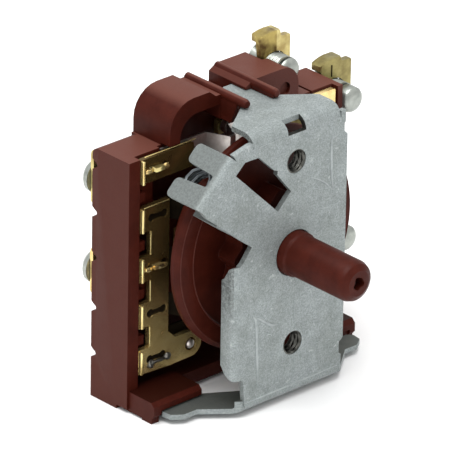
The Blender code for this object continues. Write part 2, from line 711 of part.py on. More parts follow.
def cavity_outline():
    inner = HOOD_LEFT + HOOD_WALL
    vault = arc((inner + VAULT_RADIUS, VAULT_TOP - VAULT_RADIUS), VAULT_RADIUS, 180, 90, 6)
    floor = HOUSING_BOTTOM + BOTTOM_WALL
    return ([(CAVITY_LEFT, floor), (CAVITY_LEFT, CAVITY_TOP), (inner, CAVITY_TOP)] + vault
            + [(VAULT_RIGHT, VAULT_TOP), (VAULT_RIGHT, ROOF_BOTTOM), (STRAP_RIGHT + 0.8, ROOF_BOTTOM),
               (STRAP_RIGHT + 0.8, CAVITY_TOP), (CAVITY_RIGHT, CAVITY_TOP), (CAVITY_RIGHT, floor)])


def fin(name, place, low, top_front, low_front):
    """The wall under a bead, with a front edge that slants back towards its foot."""
    back = HOUSING_BACK - 0.02
    side = [(top_front, BEAD_HEIGHT), (low_front, low), (back, low), (back, BEAD_HEIGHT)]
    return prism(name, [side], place - FIN_HALF, place + FIN_HALF, "side")


def bead(name, place):
    """A round bead along the top of a fin, rounded at its front end."""
    profile = [(0, HOUSING_BACK - 0.01), (BEAD_RADIUS, HOUSING_BACK - 0.01), (BEAD_RADIUS, BEAD_FRONT + 0.6),
               (BEAD_RADIUS * 0.75, BEAD_FRONT + 0.15), (0, BEAD_FRONT)]
    return turned(name, profile, 16, (place, BEAD_HEIGHT))


def flange_room():
    """Room for the bracket's top flange and strap, which slide in under the beads."""
    plan = [(TOP_FLANGE_LEFT - GAP, -1), (TOP_FLANGE_LEFT - GAP, 4.7), (-3.5, 8.35), (-1.3, 10.4),
            (STRAP_LEFT - GAP, STRAP_DEPTH + 0.4), (STRAP_RIGHT + GAP, STRAP_DEPTH + 0.4),
            (STRAP_RIGHT + GAP, 9.7), (4.3, 8.2), (TOP_FLANGE_RIGHT, -1)]
    return prism("flange_room", [plan], FLANGE_TOP - SHEET - GAP, FLANGE_TOP + GAP / 2, "top")


def foot(name, size):
    """A foot that reaches forward, with its upper and lower front edges bevelled."""
    left, right, front = size
    back = HOUSING_FRONT + 1
    side = [(front, FOOT_BOTTOM + 1.1), (front, FOOT_TOP - 0.6), (front + 0.6, FOOT_TOP), (back, FOOT_TOP),
            (back, FOOT_BOTTOM), (front + 0.9, FOOT_BOTTOM)]
    return prism(name, [side], left, right, "side")


def hook(name, left, right, front):
    return block(name, (left, front, -SHAFT_HEIGHT), (right, front + 2.0, FOOT_TOP - 1))


def head_room(name, centre):
    return rod(name, centre, HEAD_ROOM, HEAD_ROOM_FRONT, HOUSING_BACK + 1, 32)


def tower_head_room():
    """Room for the head of the tower's screw, with a flat side where the plateau stays whole."""
    outline = arc(TOP_TERMINAL, HEAD_ROOM, -172, 172, 24)
    return prism("top_head_room", [outline], HEAD_ROOM_FRONT, HOUSING_BACK + 1)


def plate_slot(name, left, right, low, high):
    return block(name, (left, TERMINAL_FRONT - GAP, low), (right, TERMINAL_FRONT + TERMINAL_SHEET + GAP, high))


def edge_notch(name, height):
    """A narrow rounded notch with flared corners in the left wall's back edge."""
    floor = HOUSING_BACK - 0.6
    outline = ([(HOUSING_BACK + 0.5, height + 1.1), (HOUSING_BACK - 0.1, height + 0.75)]
               + arc((floor, height), 0.4, 90, 270, 4)
               + [(HOUSING_BACK - 0.1, height - 0.75), (HOUSING_BACK + 0.5, height - 1.1)])
    return prism(name, [outline], HOUSING_LEFT - 1, HOUSING_LEFT + 1, "side")


def back_corner():
    """What is taken off the left wall's corner at its top and back."""
    centre = (HOUSING_BACK - BACK_CORNER, HOUSING_TOP - BACK_CORNER)
    outline = arc(centre, BACK_CORNER, 0, 90, 4) + [(centre[0], HOUSING_TOP + 1), (HOUSING_BACK + 1, HOUSING_TOP + 1),
                                                    (HOUSING_BACK + 1, centre[1])]
    return prism("back_corner", [outline], HOUSING_LEFT - 1, HOOD_LEFT - 0.3, "side")


def make_housing():
    housing = prism("housing", [silhouette()], HOUSING_FRONT, HOUSING_BACK)
    relief = block("rail_relief", (HOUSING_LEFT - 1, HOUSING_FRONT - 1, -SHAFT_HEIGHT - 1),
                   (HOUSING_RIGHT + 1, RAIL_FRONT, HOUSING_BOTTOM))
    cut(housing, prism("cavity", [cavity_outline()], HOUSING_FRONT - 1, CAVITY_BACK), relief)
    for index, row in enumerate(ROWS):
        unite(housing, block(f"ledge_{index}", (CAVITY_LEFT - 0.5, LEDGE_FRONT, row - TOOTH_HEIGHT / 2),
                             (LEDGE_RIGHT, CAVITY_BACK + 0.5, row + TOOTH_HEIGHT / 2 - 0.7)))
    for index, height in enumerate(PARTITIONS):
        unite(housing, block(f"partition_{index}", (CAVITY_LEFT - 0.5, HOUSING_FRONT + 0.1, height - PARTITION / 2),
                             (PARTITION_RIGHT, CAVITY_BACK + 0.5, height + PARTITION / 2)))
    for index, height in enumerate(LEFT_TERMINALS):
        unite(housing, block(f"boss_{index}", (CAVITY_LEFT - 0.6, LEDGE_FRONT + 0.1, height - 2.6),
                             (LEDGE_RIGHT - 1.1, CAVITY_BACK + 0.6, height + 2.6)))
    for index, height in enumerate(RIGHT_PLATES):
        reach = TOOTH_HEIGHT / 2 - 2 * GAP
        unite(housing, block(f"right_ledge_{index}", (RIGHT_LEDGE_LEFT, LEDGE_FRONT, height - reach),
                             (CAVITY_RIGHT + 0.4, TERMINAL_FRONT - GAP - 0.1, height + reach)))
    unite(housing, fin("left_fin", BEAD_PLACES[0], ROOF_BOTTOM + 0.02, BEAD_FRONT + 1.5, BEAD_FRONT + 2.8),
          bead("left_bead", BEAD_PLACES[0]))
    unite(housing, fin("right_fin", BEAD_PLACES[1], FLANGE_TOP + 0.1, BEAD_FRONT + 0.3, BEAD_FRONT + 0.5),
          bead("right_bead", BEAD_PLACES[1]))
    unite(housing, foot("left_foot", LEFT_FOOT), foot("right_foot", RIGHT_FOOT))
    arm_room = block("arm_room", (-BOTTOM_ARM_REACH - GAP, LEFT_FOOT[2] - 1, -SHAFT_HEIGHT - 1),
                     (BOTTOM_ARM_REACH + GAP, ARM_ROOM, -PLATE_BOTTOM + SHEET + GAP))
    cut(housing, arm_room, flange_room())
    unite(housing, hook("left_hook", LEFT_FOOT[0] + 0.02, -BOTTOM_ARM_REACH - GAP, LEFT_FOOT[2] + 0.5),
          hook("right_hook", BOTTOM_ARM_REACH + GAP, RIGHT_FOOT[1] - 0.02, RIGHT_FOOT[2] + 0.5))
    unite(housing, rod("bearing_boss", (0, 0), BOSS_RADIUS, BOSS_FRONT, CAVITY_BACK + 0.5, 32))
    cut(housing, rod("bearing_bore", (0, 0), SPINDLE_DIAMETER / 2 + RUNNING_GAP, BOSS_FRONT - 1,
                     HOUSING_BACK - 0.5, 24))
    cut(housing, block("left_plate_pocket", (CAVITY_LEFT, HOUSING_FRONT - 1, ROWS[0] - TOOTH_HEIGHT / 2 - GAP),
                       (-7.9, LEDGE_FRONT, HOUSING_TOP + 0.02)))
    cut(housing, block("right_plate_pocket", (RIGHT_PLATE_LEFT - GAP, HOUSING_FRONT - 1,
                                              ROWS[0] - TOOTH_HEIGHT / 2 - GAP),
                       (CAVITY_RIGHT - 0.02, LEDGE_FRONT - 0.02, HOUSING_TOP + 0.02)))
    cut(housing, block("leaf_pocket", (LEAF_ROOT - GAP, HOUSING_FRONT - 1, CAVITY_TOP - 1),
                       (-7.9, LEDGE_FRONT + LEAF + GAP, HOUSING_TOP + GAP)))
    # Ways for the screws and plates of the tower and the right wall
    cut(housing, rod("top_screw_channel", TOP_TERMINAL, SCREW_ROOM, HOUSING_FRONT + TOWER_FRONT_WALL,
                     HOUSING_BACK + 1, 32))
    cut(housing, tower_head_room(), head_room("upper_head_room", UPPER_TERMINAL),
        head_room("lower_head_room", LOWER_TERMINAL))
    top_low, top_high = UPPER_STRIP
    low_low, low_high = LOWER_STRIP
    cut(housing, plate_slot("top_slot", TOP_TERMINAL[0] - EAR_LEFT - GAP, TOWER_RIGHT + 1, CAVITY_TOP - 1,
                            TOWER_TOP + 1),
        plate_slot("upper_slot", CAVITY_RIGHT - 0.5, HOUSING_RIGHT + 1, top_low - GAP, top_high + GAP),
        plate_slot("lower_slot", CAVITY_RIGHT - 0.5, HOUSING_RIGHT + 1, low_low - GAP, low_high + GAP))
    cut(housing, rod("tower_notch", TOWER_NOTCH_PLACE, TOWER_NOTCH_RADIUS, HOUSING_FRONT - 1,
                     HOUSING_FRONT + TOWER_NOTCH_DEPTH, 16),
        block("top_groove", (TOP_GROOVE_PLACE, HOUSING_FRONT - 1, CAVITY_TOP + TOP_GROOVE),
              (TOP_GROOVE_PLACE + TOP_GROOVE, HOUSING_BACK + 1, HOUSING_TOP + 1)))
    # Blind bores of the left screws, from the back, and the ways of their plates' tabs
    for index, height in enumerate(LEFT_TERMINALS):
        bore = rod(f"left_bore_{index}", (LEFT_TERMINAL_PLACE, height), LEFT_SCREW_DIAMETER / 2 + 0.2,
                   LEFT_SCREW_END - GAP, HOUSING_BACK + 1, 24)
        row = ROWS[index * 2]
        way = block(f"tab_way_{index}", (TAB_PLACE - TAB_HALF - 0.2, HOUSING_FRONT - 1, row - 0.5),
                    (TAB_PLACE + TAB_HALF + 0.2, HOUSING_BACK + 1, row + 0.5))
        cut(housing, bore, way)
    for index, height in enumerate(EDGE_NOTCHES):
        cut(housing, edge_notch(f"edge_notch_{index}", height))
    return finish(cut(housing, back_corner()), PHENOLIC)


# Brass plates

def make_left_plate():
    row = ROWS[0]
    half = TOOTH_HEIGHT / 2
    outline = rounded(rectangle(BRASS_LEFT, -8.2, row - half, row + half), 0.4)
    hole = keyhole((KEYHOLE_PLACE, row))
    return finish(prism("contact_plate", [outline, hole], BRASS_FRONT, BRASS_BACK), BRASS_FINISH)


def make_comb():
    """Four teeth on one spine, with a foot to the right at the bottom that holds a contact rivet."""
    half = TOOTH_HEIGHT / 2
    teeth = []
    for row in ROWS[1:]:
        teeth += [(COMB_SPINE_LEFT, row + half), (BRASS_LEFT, row + half), (BRASS_LEFT, row - half),
                  (COMB_SPINE_LEFT, row - half)]
    x, z = RIVET_PLACE
    foot_end = arc((x, z), 2.1, -70, 70, 6)
    outline = [(COMB_SPINE_RIGHT, ROWS[1] + half)] + teeth[1:-1] + [(-12.4, z - 2.1)] + foot_end
    outline += [(-11.2, -14.0), (COMB_SPINE_RIGHT, -12.6)]
    holes = [keyhole((KEYHOLE_PLACE, row)) for row in ROWS[1:]]
    rivet_hole = circle((x, z), RIVET_RADIUS + GAP, 16)
    comb = prism("contact_comb", [outline] + holes + [rivet_hole], BRASS_FRONT, BRASS_BACK)
    return finish(comb, BRASS_FINISH)


def make_rivet():
    profile = [(0, BRASS_BACK), (RIVET_RADIUS, BRASS_BACK), (RIVET_RADIUS, BRASS_FRONT),
               (RIVET_RADIUS * 0.75, BRASS_FRONT - 0.2), (0, BRASS_FRONT - 0.3)]
    return finish(turned("comb_rivet", profile, 20, RIVET_PLACE), SILVER)


def make_right_plates():
    """Brass plates inside the right wall's front edge, at the first and the fourth row."""
    half = TOOTH_HEIGHT / 2
    for name, height in zip(("right_plate_upper", "right_plate_lower"), RIGHT_PLATES):
        outline = rounded(rectangle(RIGHT_PLATE_LEFT, CAVITY_RIGHT - GAP, height - half, height + half), 0.3)
        hole = keyhole((RIGHT_KEYHOLE_PLACE, height), 1.6)
        finish(prism(name, [outline, hole], BRASS_FRONT, BRASS_BACK), BRASS_FINISH)


def make_left_terminals():
    """Plates on the housing's back, each with a tab that reaches through to its keyhole in front."""
    back = LEFT_TERMINAL_FRONT + LEFT_TERMINAL_SHEET
    for index, height in enumerate(LEFT_TERMINALS):
        row = ROWS[index * 2]
        outline = rounded(rectangle(LEFT_TERMINAL_EDGE, TAB_PLACE + TAB_HALF + GAP, height - 3.5, row + 1.1), 0.5)
        hole = circle((LEFT_TERMINAL_PLACE, height), LEFT_SCREW_DIAMETER / 2 + 0.15, 20)
        plate = prism(f"left_terminal_{index + 1}", [outline, hole], LEFT_TERMINAL_FRONT, back)
        tab = block(f"left_tab_{index}", (TAB_PLACE - TAB_HALF, BRASS_FRONT - 0.7, row - 0.3),
                    (TAB_PLACE + TAB_HALF, back - 0.1, row + 0.3))
        finish(unite(plate, tab), BRASS_FINISH)


def terminal_plate(name, outline, centre, ear_right, ear_top):
    """A plate round a screw with its strip to the contacts inside, and an ear bent back at its top."""
    back = TERMINAL_FRONT + TERMINAL_SHEET
    hole = circle(centre, SCREW_DIAMETER / 2 + 0.15, 20)
    plate = prism(name, [rounded(outline, 0.4), hole], TERMINAL_FRONT, back)
    ear = rectangle(centre[0] - EAR_LEFT + 0.12, ear_right - 0.02, TERMINAL_FRONT + 0.02, back + EAR_REACH)
    lip = prism(name + "_ear", [rounded(ear, 0.3)], ear_top - TERMINAL_SHEET, ear_top - 0.02, "top")
    return finish(unite(plate, lip), BRASS_FINISH)


def make_terminals():
    """The top terminal feeds the first row, the upper one the second, the lower one the other three."""
    first, second, third, fourth, fifth = [row + rise for row, rise in zip(ROWS, ROW_RISES)]
    contacts = [place + CONTACT_OFFSET for place in HUMP_PLACES]
    half = STRIP_HALF

    x, z = TOP_TERMINAL
    left = contacts[0] - half
    terminal_plate("top_terminal", [
        (left, first - half), (x + 0.3, first - half), (x + 0.3, z - 3.6), (x + 2.8, z - 3.3), (x + 2.8, z + 4.1),
        (x + 0.95, z + 4.1), (x + 0.9, z + 5.2), (x - EAR_LEFT, z + 5.2), (x - EAR_LEFT, CAVITY_TOP - GAP),
        (left, CAVITY_TOP - GAP)], TOP_TERMINAL, x + 0.9, z + 5.2)

    x, z = UPPER_TERMINAL
    low, high = UPPER_STRIP
    left = contacts[1] - half
    outside = HOUSING_RIGHT + GAP
    terminal_plate("upper_terminal", [
        (left, second - 1.1), (14.0, second - 1.1), (14.0, low), (outside, low), (outside, z - 4.0),
        (x + 3.2, z - 4.0), (x + 3.2, z + 4.4), (x + 1.25, z + 4.4), (x + 1.2, z + 5.2), (outside + 0.1, z + 5.2),
        (outside + 0.1, high), (12.0, high), (12.0, second + 1.1), (left, second + 1.1)],
        UPPER_TERMINAL, x + 1.2, z + 5.2)

    x, z = LOWER_TERMINAL
    low, high = LOWER_STRIP
    left = contacts[2] - half
    terminal_plate("lower_terminal", [
        (outside, high), (contacts[2] + half, high), (contacts[2] + half, third + half), (left, third + half),
        (left, fourth - half), (contacts[4] - half, fourth - half), (contacts[4] - half, fifth - half),
        (contacts[4] + half, fifth - half), (contacts[4] + half, low), (outside + 0.1, low), (outside + 0.1, z - 4.0),
        (x + 2.7, z - 4.0), (x + 2.7, z + 3.4), (x + 1.25, z + 3.4), (x + 1.2, z + 4.0), (outside, z + 4.0)],
        LOWER_TERMINAL, x + 1.2, z + 4.0)


def screw(name, centre, diameter, head_diameter, head_height, seat, end):
    """A pan-head screw with its head at the back and a domed end in front."""
    radius = diameter / 2
    head = head_diameter / 2
    top = seat + head_height
    profile = [(0, top), (head * 0.45, top - 0.12), (head * 0.8, top - 0.55), (head, top - 1.2), (head, seat),
               (radius, seat), (radius, end + 1.3), (radius * 0.9, end + 0.7), (radius * 0.6, end + 0.2), (0, end)]
    item = turned(name, profile, 24, centre)
    slot = block(name + "_slot", (centre[0] - head, top - 0.8, centre[1] - 0.35),
                 (centre[0] + head, top + 1, centre[1] + 0.35))
    return finish(cut(item, slot), ZINC)


def make_screws():
    for number, centre in enumerate((TOP_TERMINAL, UPPER_TERMINAL, LOWER_TERMINAL), 1):
        screw(f"terminal_screw_{number}", centre, SCREW_DIAMETER, SCREW_HEAD_DIAMETER, SCREW_HEAD_HEIGHT, SCREW_SEAT,
              SCREW_END)
    seat = LEFT_TERMINAL_FRONT + LEFT_TERMINAL_SHEET + 0.1
    for number, height in enumerate(LEFT_TERMINALS, 4):
        screw(f"terminal_screw_{number}", (LEFT_TERMINAL_PLACE, height), LEFT_SCREW_DIAMETER, LEFT_SCREW_HEAD,
              LEFT_HEAD_HEIGHT, seat, LEFT_SCREW_END)


# Contacts

def make_contacts():
    """One leaf spring for each row, its moving contact, and the fixed contact behind it."""
    front = LEDGE_FRONT
    crest = TRACK_TOP + GAP
    moving_front = front + LEAF + GAP
    moving_back = moving_front + MOVING_CONTACT_HEIGHT
    fixed_back = TERMINAL_FRONT - GAP
    fixed_front = fixed_back - FIXED_CONTACT_HEIGHT
    half = LEAF_WIDTH / 2
    for number, (row, rise, hump) in enumerate(zip(ROWS, ROW_RISES, HUMP_PLACES), 1):
        centre = (hump + CONTACT_OFFSET, row + rise)
        line = [(LEAF_ROOT, front), (hump - HUMP_HALF, front), (hump - 0.5, crest), (hump + 0.5, crest),
                (hump + HUMP_HALF, front), (centre[0] + LEAF_TIP, front)]
        back = [(x, y + LEAF) for x, y in reversed(line)]
        leaf = prism(f"leaf_spring_{number}", [line + back], centre[1] - half, centre[1] + half, "top")
        finish(leaf, SILVER if number == 1 else BRASS_FINISH)
        finish(rod(f"moving_contact_{number}", centre, CONTACT_RADIUS, moving_front, moving_back, 20, 1.0), SILVER)
        finish(rod(f"fixed_contact_{number}", centre, CONTACT_RADIUS, fixed_front, fixed_back, 20), SILVER)


make_housing()
make_bracket()
make_shaft()
make_cam_disc()
make_plunger()
make_spring()
make_left_plate()
make_comb()
make_rivet()
make_right_plates()
make_left_terminals()
make_terminals()
make_screws()
make_contacts()
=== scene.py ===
import json
import math

import bmesh
import bpy
from mathutils import Matrix, Vector
from mathutils import noise as turbulence

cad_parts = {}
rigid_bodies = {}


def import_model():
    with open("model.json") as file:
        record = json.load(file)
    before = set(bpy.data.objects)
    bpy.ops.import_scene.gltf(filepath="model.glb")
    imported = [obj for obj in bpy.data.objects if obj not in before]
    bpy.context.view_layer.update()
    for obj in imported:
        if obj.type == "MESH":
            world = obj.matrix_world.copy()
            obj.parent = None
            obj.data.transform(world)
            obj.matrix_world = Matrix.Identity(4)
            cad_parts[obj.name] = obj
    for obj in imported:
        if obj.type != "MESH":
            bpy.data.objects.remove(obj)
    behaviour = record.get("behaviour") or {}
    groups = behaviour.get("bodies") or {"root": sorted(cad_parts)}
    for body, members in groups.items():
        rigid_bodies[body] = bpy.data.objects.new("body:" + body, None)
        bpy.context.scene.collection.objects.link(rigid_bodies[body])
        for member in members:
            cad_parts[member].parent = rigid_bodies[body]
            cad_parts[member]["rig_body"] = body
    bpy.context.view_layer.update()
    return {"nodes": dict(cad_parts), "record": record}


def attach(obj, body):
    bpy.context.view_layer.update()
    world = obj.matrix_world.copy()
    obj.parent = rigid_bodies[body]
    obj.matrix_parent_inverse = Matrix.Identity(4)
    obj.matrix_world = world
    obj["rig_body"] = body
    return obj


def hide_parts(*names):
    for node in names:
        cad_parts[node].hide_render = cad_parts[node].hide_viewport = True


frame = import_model()
NODES = frame["nodes"]
SLOTS = {entry["node"]: entry["material_slot"] for entry in frame["record"]["subparts"]}

# Sizes are in millimetres from the shaft's axis at the bracket's front face
MM = 0.001
SHAFT_HEIGHT = 22.9
ORIGIN_DEPTH = 15.5
MOUNT_HOLES = {"upper": 14.0, "lower": -14.0}
ROWS = (13.4, 6.0, -1.6, -8.75, -15.9)
KEYHOLE_ROWS = (2, 4, 5)
KEYHOLE_LEFT = -16.0
KEYHOLE_RIGHT = -13.6

# The free corners of the detent arm's bent end: their depth, and a place that they lie left of
TAB_DEPTH = 6.9
TAB_LIMIT = -9.0

# Terminal screws: sideways place and height, and where the domed end starts and stops
TERMINAL_SCREWS = {"terminal_screw_1": (10.9, 19.8), "terminal_screw_2": (22.5, 12.2),
                   "terminal_screw_3": (22.5, -9.7)}
SCREW_TIPS = {"terminal_screw_1": (12.7, 13.7), "terminal_screw_2": (11.8, 14.1),
              "terminal_screw_3": (12.3, 14.2)}
SCREW_SEAT = 17.4
SCREW_RADIUS = 1.95
SHANK_SHARE = 0.72
SCREW_PITCH = 0.6
SCREW_THREAD = 0.24
HOLE_RADIUS = 1.79
HOLE_PITCH = 0.7
HOLE_THREAD = 0.28

# Fineness of the meshes, with angles in degrees
WELD = 0.000002
FLAT_ANGLE = 0.6
SMOOTH_ANGLE = 32.0
SHARP_ANGLE = 50.0
LATHE_SIDES = 36
THREAD_SIDES = 40
THREAD_STEPS = 8
HOOP_SIDES = 8
HOOP_STEPS = 96

# Where the finishes and the painted light and shade change, in millimetres of the row frame or as parts of a
# face's direction
FACING = (0.80, 0.97)
FACING_LEFT = (-0.9, -0.99)
FLANGE_FACING = (-0.5, -0.9)
BENT_FACING = (0.90, 0.98)
BENT_DIRECTION = (-0.7071, 0, 0.7071)
TOP_START = (37.2, 38.4)
WALL_START = (-19.9, -20.2)
TOWER_START = (-3.0, -1.5)
FEET_START = (9.0, 7.0)
CLIP_START = (4.5, 3.5)
PATCH_START = (12.0, 20.0)
COMB_FADE = (8.0, 19.0)

BLACK = (0, 0, 0)
# Painted shade on the housing's feet and painted light on the front of its tower
PAINTED_FEET_SHADE = (0.024, 0.0042, 0.0022)
PAINTED_TOWER_LIGHT = (0.092, 0.0260, 0.0190)
SCUFF_COLOUR = (0.50, 0.53, 0.53)
# Painted shade on the sheet: on the detent arm's bent end, on the clips' upper faces and in a patch on the
# side flange
PAINTED_BENT_SHADE = (0.205, 0.227, 0.222)
PAINTED_CLIP_SHADE = (0.115, 0.125, 0.116)
PAINTED_FLANGE_SHADE = (0.060, 0.064, 0.060)
COMB_DARK = (0.22, 0.145, 0.052)

BRIGHT_SIDE = (-0.2, 0.1, 0.97)


def at(x, y, z):
    """A place of the switch's own frame, in metres in the row frame."""
    return Vector((x, y - ORIGIN_DEPTH, z + SHAFT_HEIGHT)) * MM


# Material helpers

def new_material(name):
    surface = bpy.data.materials.new(name)
    surface.use_nodes = True
    shader = surface.node_tree.nodes["Principled BSDF"]
    return surface, surface.node_tree.nodes, surface.node_tree.links, shader


def object_places(nodes, links):
    """Object coordinates in millimetres."""
    source = nodes.new("ShaderNodeTexCoord")
    mapping = nodes.new("ShaderNodeMapping")
    mapping.inputs["Scale"].default_value = [1 / MM] * 3
    links.new(source.outputs["Object"], mapping.inputs["Vector"])
    return mapping.outputs["Vector"]


def noise(nodes, links, places, scale, detail, roughness):
    texture = nodes.new("ShaderNodeTexNoise")
    texture.inputs["Scale"].default_value = scale
    texture.inputs["Detail"].default_value = detail
    texture.inputs["Roughness"].default_value = roughness
    links.new(places, texture.inputs["Vector"])
    return texture.outputs["Fac"]


def cells(nodes, links, places, scale):
    """Patches of one random colour each, as its red, green and blue."""
    texture = nodes.new("ShaderNodeTexVoronoi")
    texture.inputs["Scale"].default_value = scale
    links.new(places, texture.inputs["Vector"])
    split = nodes.new("ShaderNodeSeparateColor")
    links.new(texture.outputs["Color"], split.inputs["Color"])
    return split.outputs


def ramp(nodes, links, value, low, high, first, second):
    """A value spread between two stops onto two colours."""
    node = nodes.new("ShaderNodeValToRGB")
    node.color_ramp.elements[0].position = low
    node.color_ramp.elements[1].position = high
    node.color_ramp.elements[0].color = (*first, 1)
    node.color_ramp.elements[1].color = (*second, 1)
    links.new(value, node.inputs["Fac"])
    return node.outputs["Color"]


def spread(nodes, links, value, low, high, first=0.0, second=1.0):
    """A value spread between two stops onto two numbers."""
    node = nodes.new("ShaderNodeMapRange")
    node.inputs["From Min"].default_value = low
    node.inputs["From Max"].default_value = high
    node.inputs["To Min"].default_value = first
    node.inputs["To Max"].default_value = second
    links.new(value, node.inputs["Value"])
    return node.outputs["Result"]


def mix(nodes, links, factor, first, second, kind="MIX"):
    """Two colours mixed by a factor; each may be a plain value or another node's output."""
    node = nodes.new("ShaderNodeMix")
    node.data_type = "RGBA"
    node.blend_type = kind
    for value, name, sort in ((factor, "Factor", "VALUE"), (first, "A", "RGBA"), (second, "B", "RGBA")):
        socket = [entry for entry in node.inputs if entry.name == name and entry.type == sort][0]
        if isinstance(value, (int, float)):
            socket.default_value = value
        elif isinstance(value, tuple):
            socket.default_value = (*value, 1)
        else:
            links.new(value, socket)
    return [entry for entry in node.outputs if entry.type == "RGBA"][0]


def both(nodes, links, first, second):
    """The share where two shares hold at once."""
    return mix(nodes, links, first, BLACK, second)


def bump(nodes, links, shader, value, distance, strength):
    node = nodes.new("ShaderNodeBump")
    node.inputs["Distance"].default_value = distance * MM
    node.inputs["Strength"].default_value = strength
    links.new(value, node.inputs["Height"])
    links.new(node.outputs["Normal"], shader.inputs["Normal"])


def parts_of(nodes, links, vector):
    """The X, Y and Z of a vector."""
    node = nodes.new("ShaderNodeSeparateXYZ")
    links.new(vector, node.inputs["Vector"])
    return node.outputs


def along(nodes, links, vector, direction):
    """How far a vector reaches in a direction."""
    node = nodes.new("ShaderNodeVectorMath")
    node.operation = "DOT_PRODUCT"
    node.inputs[1].default_value = direction
    links.new(vector, node.inputs[0])
    return node.outputs["Value"]


def painted_light_by_facing(nodes, links, places, colour, painted_top_sheen, side):
    """Paints light by face direction: a greyer painted sheen on high faces that look up, painted light on the
    outer left wall and on the tower's front, and painted shade on the feet.
    """
    facing = parts_of(nodes, links, nodes.new("ShaderNodeNewGeometry").outputs["Normal"])
    where = parts_of(nodes, links, places)
    upward = spread(nodes, links, facing["Z"], *FACING)
    forward = spread(nodes, links, facing["Y"], *[-value for value in FACING])
    leftward = spread(nodes, links, facing["X"], *FACING_LEFT)
    high = spread(nodes, links, where["Z"], *TOP_START)
    on_feet = both(nodes, links, upward, spread(nodes, links, where["Z"], *FEET_START))
    on_front = both(nodes, links, forward, high)
    on_tower = both(nodes, links, on_front, spread(nodes, links, where["X"], *TOWER_START))
    on_side = both(nodes, links, leftward, spread(nodes, links, where["X"], *WALL_START))
    colour = mix(nodes, links, on_feet, colour, PAINTED_FEET_SHADE)
    colour = mix(nodes, links, on_tower, colour, PAINTED_TOWER_LIGHT)
    colour = mix(nodes, links, both(nodes, links, upward, high), colour, painted_top_sheen)
    return mix(nodes, links, on_side, colour, side)


def painted_shade_on_sheet(nodes, links, places, colour):
    """Paints shade by face direction on the detent arm's bent end, which faces the lamp, on the clips' upper
    faces low under the switch, and as a speckled patch on the side flange's left face.
    """
    normal = nodes.new("ShaderNodeNewGeometry").outputs["Normal"]
    facing = parts_of(nodes, links, normal)
    where = parts_of(nodes, links, places)
    bent = spread(nodes, links, along(nodes, links, normal, BENT_DIRECTION), *BENT_FACING)
    upward = spread(nodes, links, facing["Z"], *FACING)
    leftward = spread(nodes, links, facing["X"], *FLANGE_FACING)
    on_clip = both(nodes, links, upward, spread(nodes, links, where["Z"], *CLIP_START))
    on_flange = both(nodes, links, leftward, spread(nodes, links, where["Z"], *PATCH_START))
    specks = spread(nodes, links, noise(nodes, links, places, 3.2, 4, 0.7), 0.40, 0.60, 0.15, 0.85)
    colour = mix(nodes, links, bent, colour, PAINTED_BENT_SHADE)
    colour = mix(nodes, links, on_clip, colour, PAINTED_CLIP_SHADE)
    return mix(nodes, links, both(nodes, links, on_flange, specks), colour, PAINTED_FLANGE_SHADE)


# Materials

def phenolic(name, dark, light, roughness, specular, painted_top_sheen=None, side=None):
    """Moulded plastic: faint mottling, fine grain and a satin skin; with a top colour it also gets painted
    sheen, light and shade by face direction.
    """
    surface, nodes, links, shader = new_material(name)
    places = object_places(nodes, links)
    mottle = noise(nodes, links, places, 0.35, 6, 0.6)
    grain = noise(nodes, links, places, 6.0, 3, 0.6)
    colour = ramp(nodes, links, mottle, 0.35, 0.68, dark, light)
    if painted_top_sheen:
        colour = painted_light_by_facing(nodes, links, places, colour, painted_top_sheen, side)
    speck = ramp(nodes, links, grain, 0.35, 0.75, (0.90, 0.90, 0.90), (1.08, 1.06, 1.05))
    links.new(mix(nodes, links, 1.0, colour, speck, "MULTIPLY"), shader.inputs["Base Color"])
    gloss = spread(nodes, links, mottle, 0.3, 0.7, roughness + 0.05, roughness - 0.05)
    links.new(gloss, shader.inputs["Roughness"])
    shader.inputs["Specular IOR Level"].default_value = specular
    bump(nodes, links, shader, grain, 0.05, 0.35)
    return surface


def galvanised(name):
    """Zinc-coated sheet: fine grain, faint crystal patches, cloudy dull marks and small pale scuffs, with
    painted shade on the detent arm's bent end, the clips and the side flange.
    """
    surface, nodes, links, shader = new_material(name)
    places = object_places(nodes, links)
    patch = cells(nodes, links, places, 0.9)
    crystal = ramp(nodes, links, patch["Red"], 0.0, 1.0, (0.955, 0.955, 0.955), (1.03, 1.03, 1.03))
    grain = noise(nodes, links, places, 4.6, 3, 0.7)
    base = ramp(nodes, links, grain, 0.32, 0.70, (0.196, 0.222, 0.222), (0.370, 0.403, 0.403))
    cloud = noise(nodes, links, places, 0.2, 5, 0.6)
    dull = ramp(nodes, links, cloud, 0.35, 0.65, (0.86, 0.865, 0.84), (1.06, 1.06, 1.06))
    colour = mix(nodes, links, 1.0, base, crystal, "MULTIPLY")
    colour = mix(nodes, links, 1.0, colour, dull, "MULTIPLY")
    scuff = spread(nodes, links, noise(nodes, links, places, 0.85, 6, 0.7), 0.60, 0.70, 0.0, 0.7)
    colour = mix(nodes, links, scuff, colour, SCUFF_COLOUR)
    links.new(painted_shade_on_sheet(nodes, links, places, colour), shader.inputs["Base Color"])
    links.new(spread(nodes, links, patch["Green"], 0.0, 1.0, 0.52, 0.64), shader.inputs["Roughness"])
    shader.inputs["Metallic"].default_value = 0.45
    shader.inputs["Specular IOR Level"].default_value = 0.3
    bump(nodes, links, shader, grain, 0.06, 0.35)
    return surface


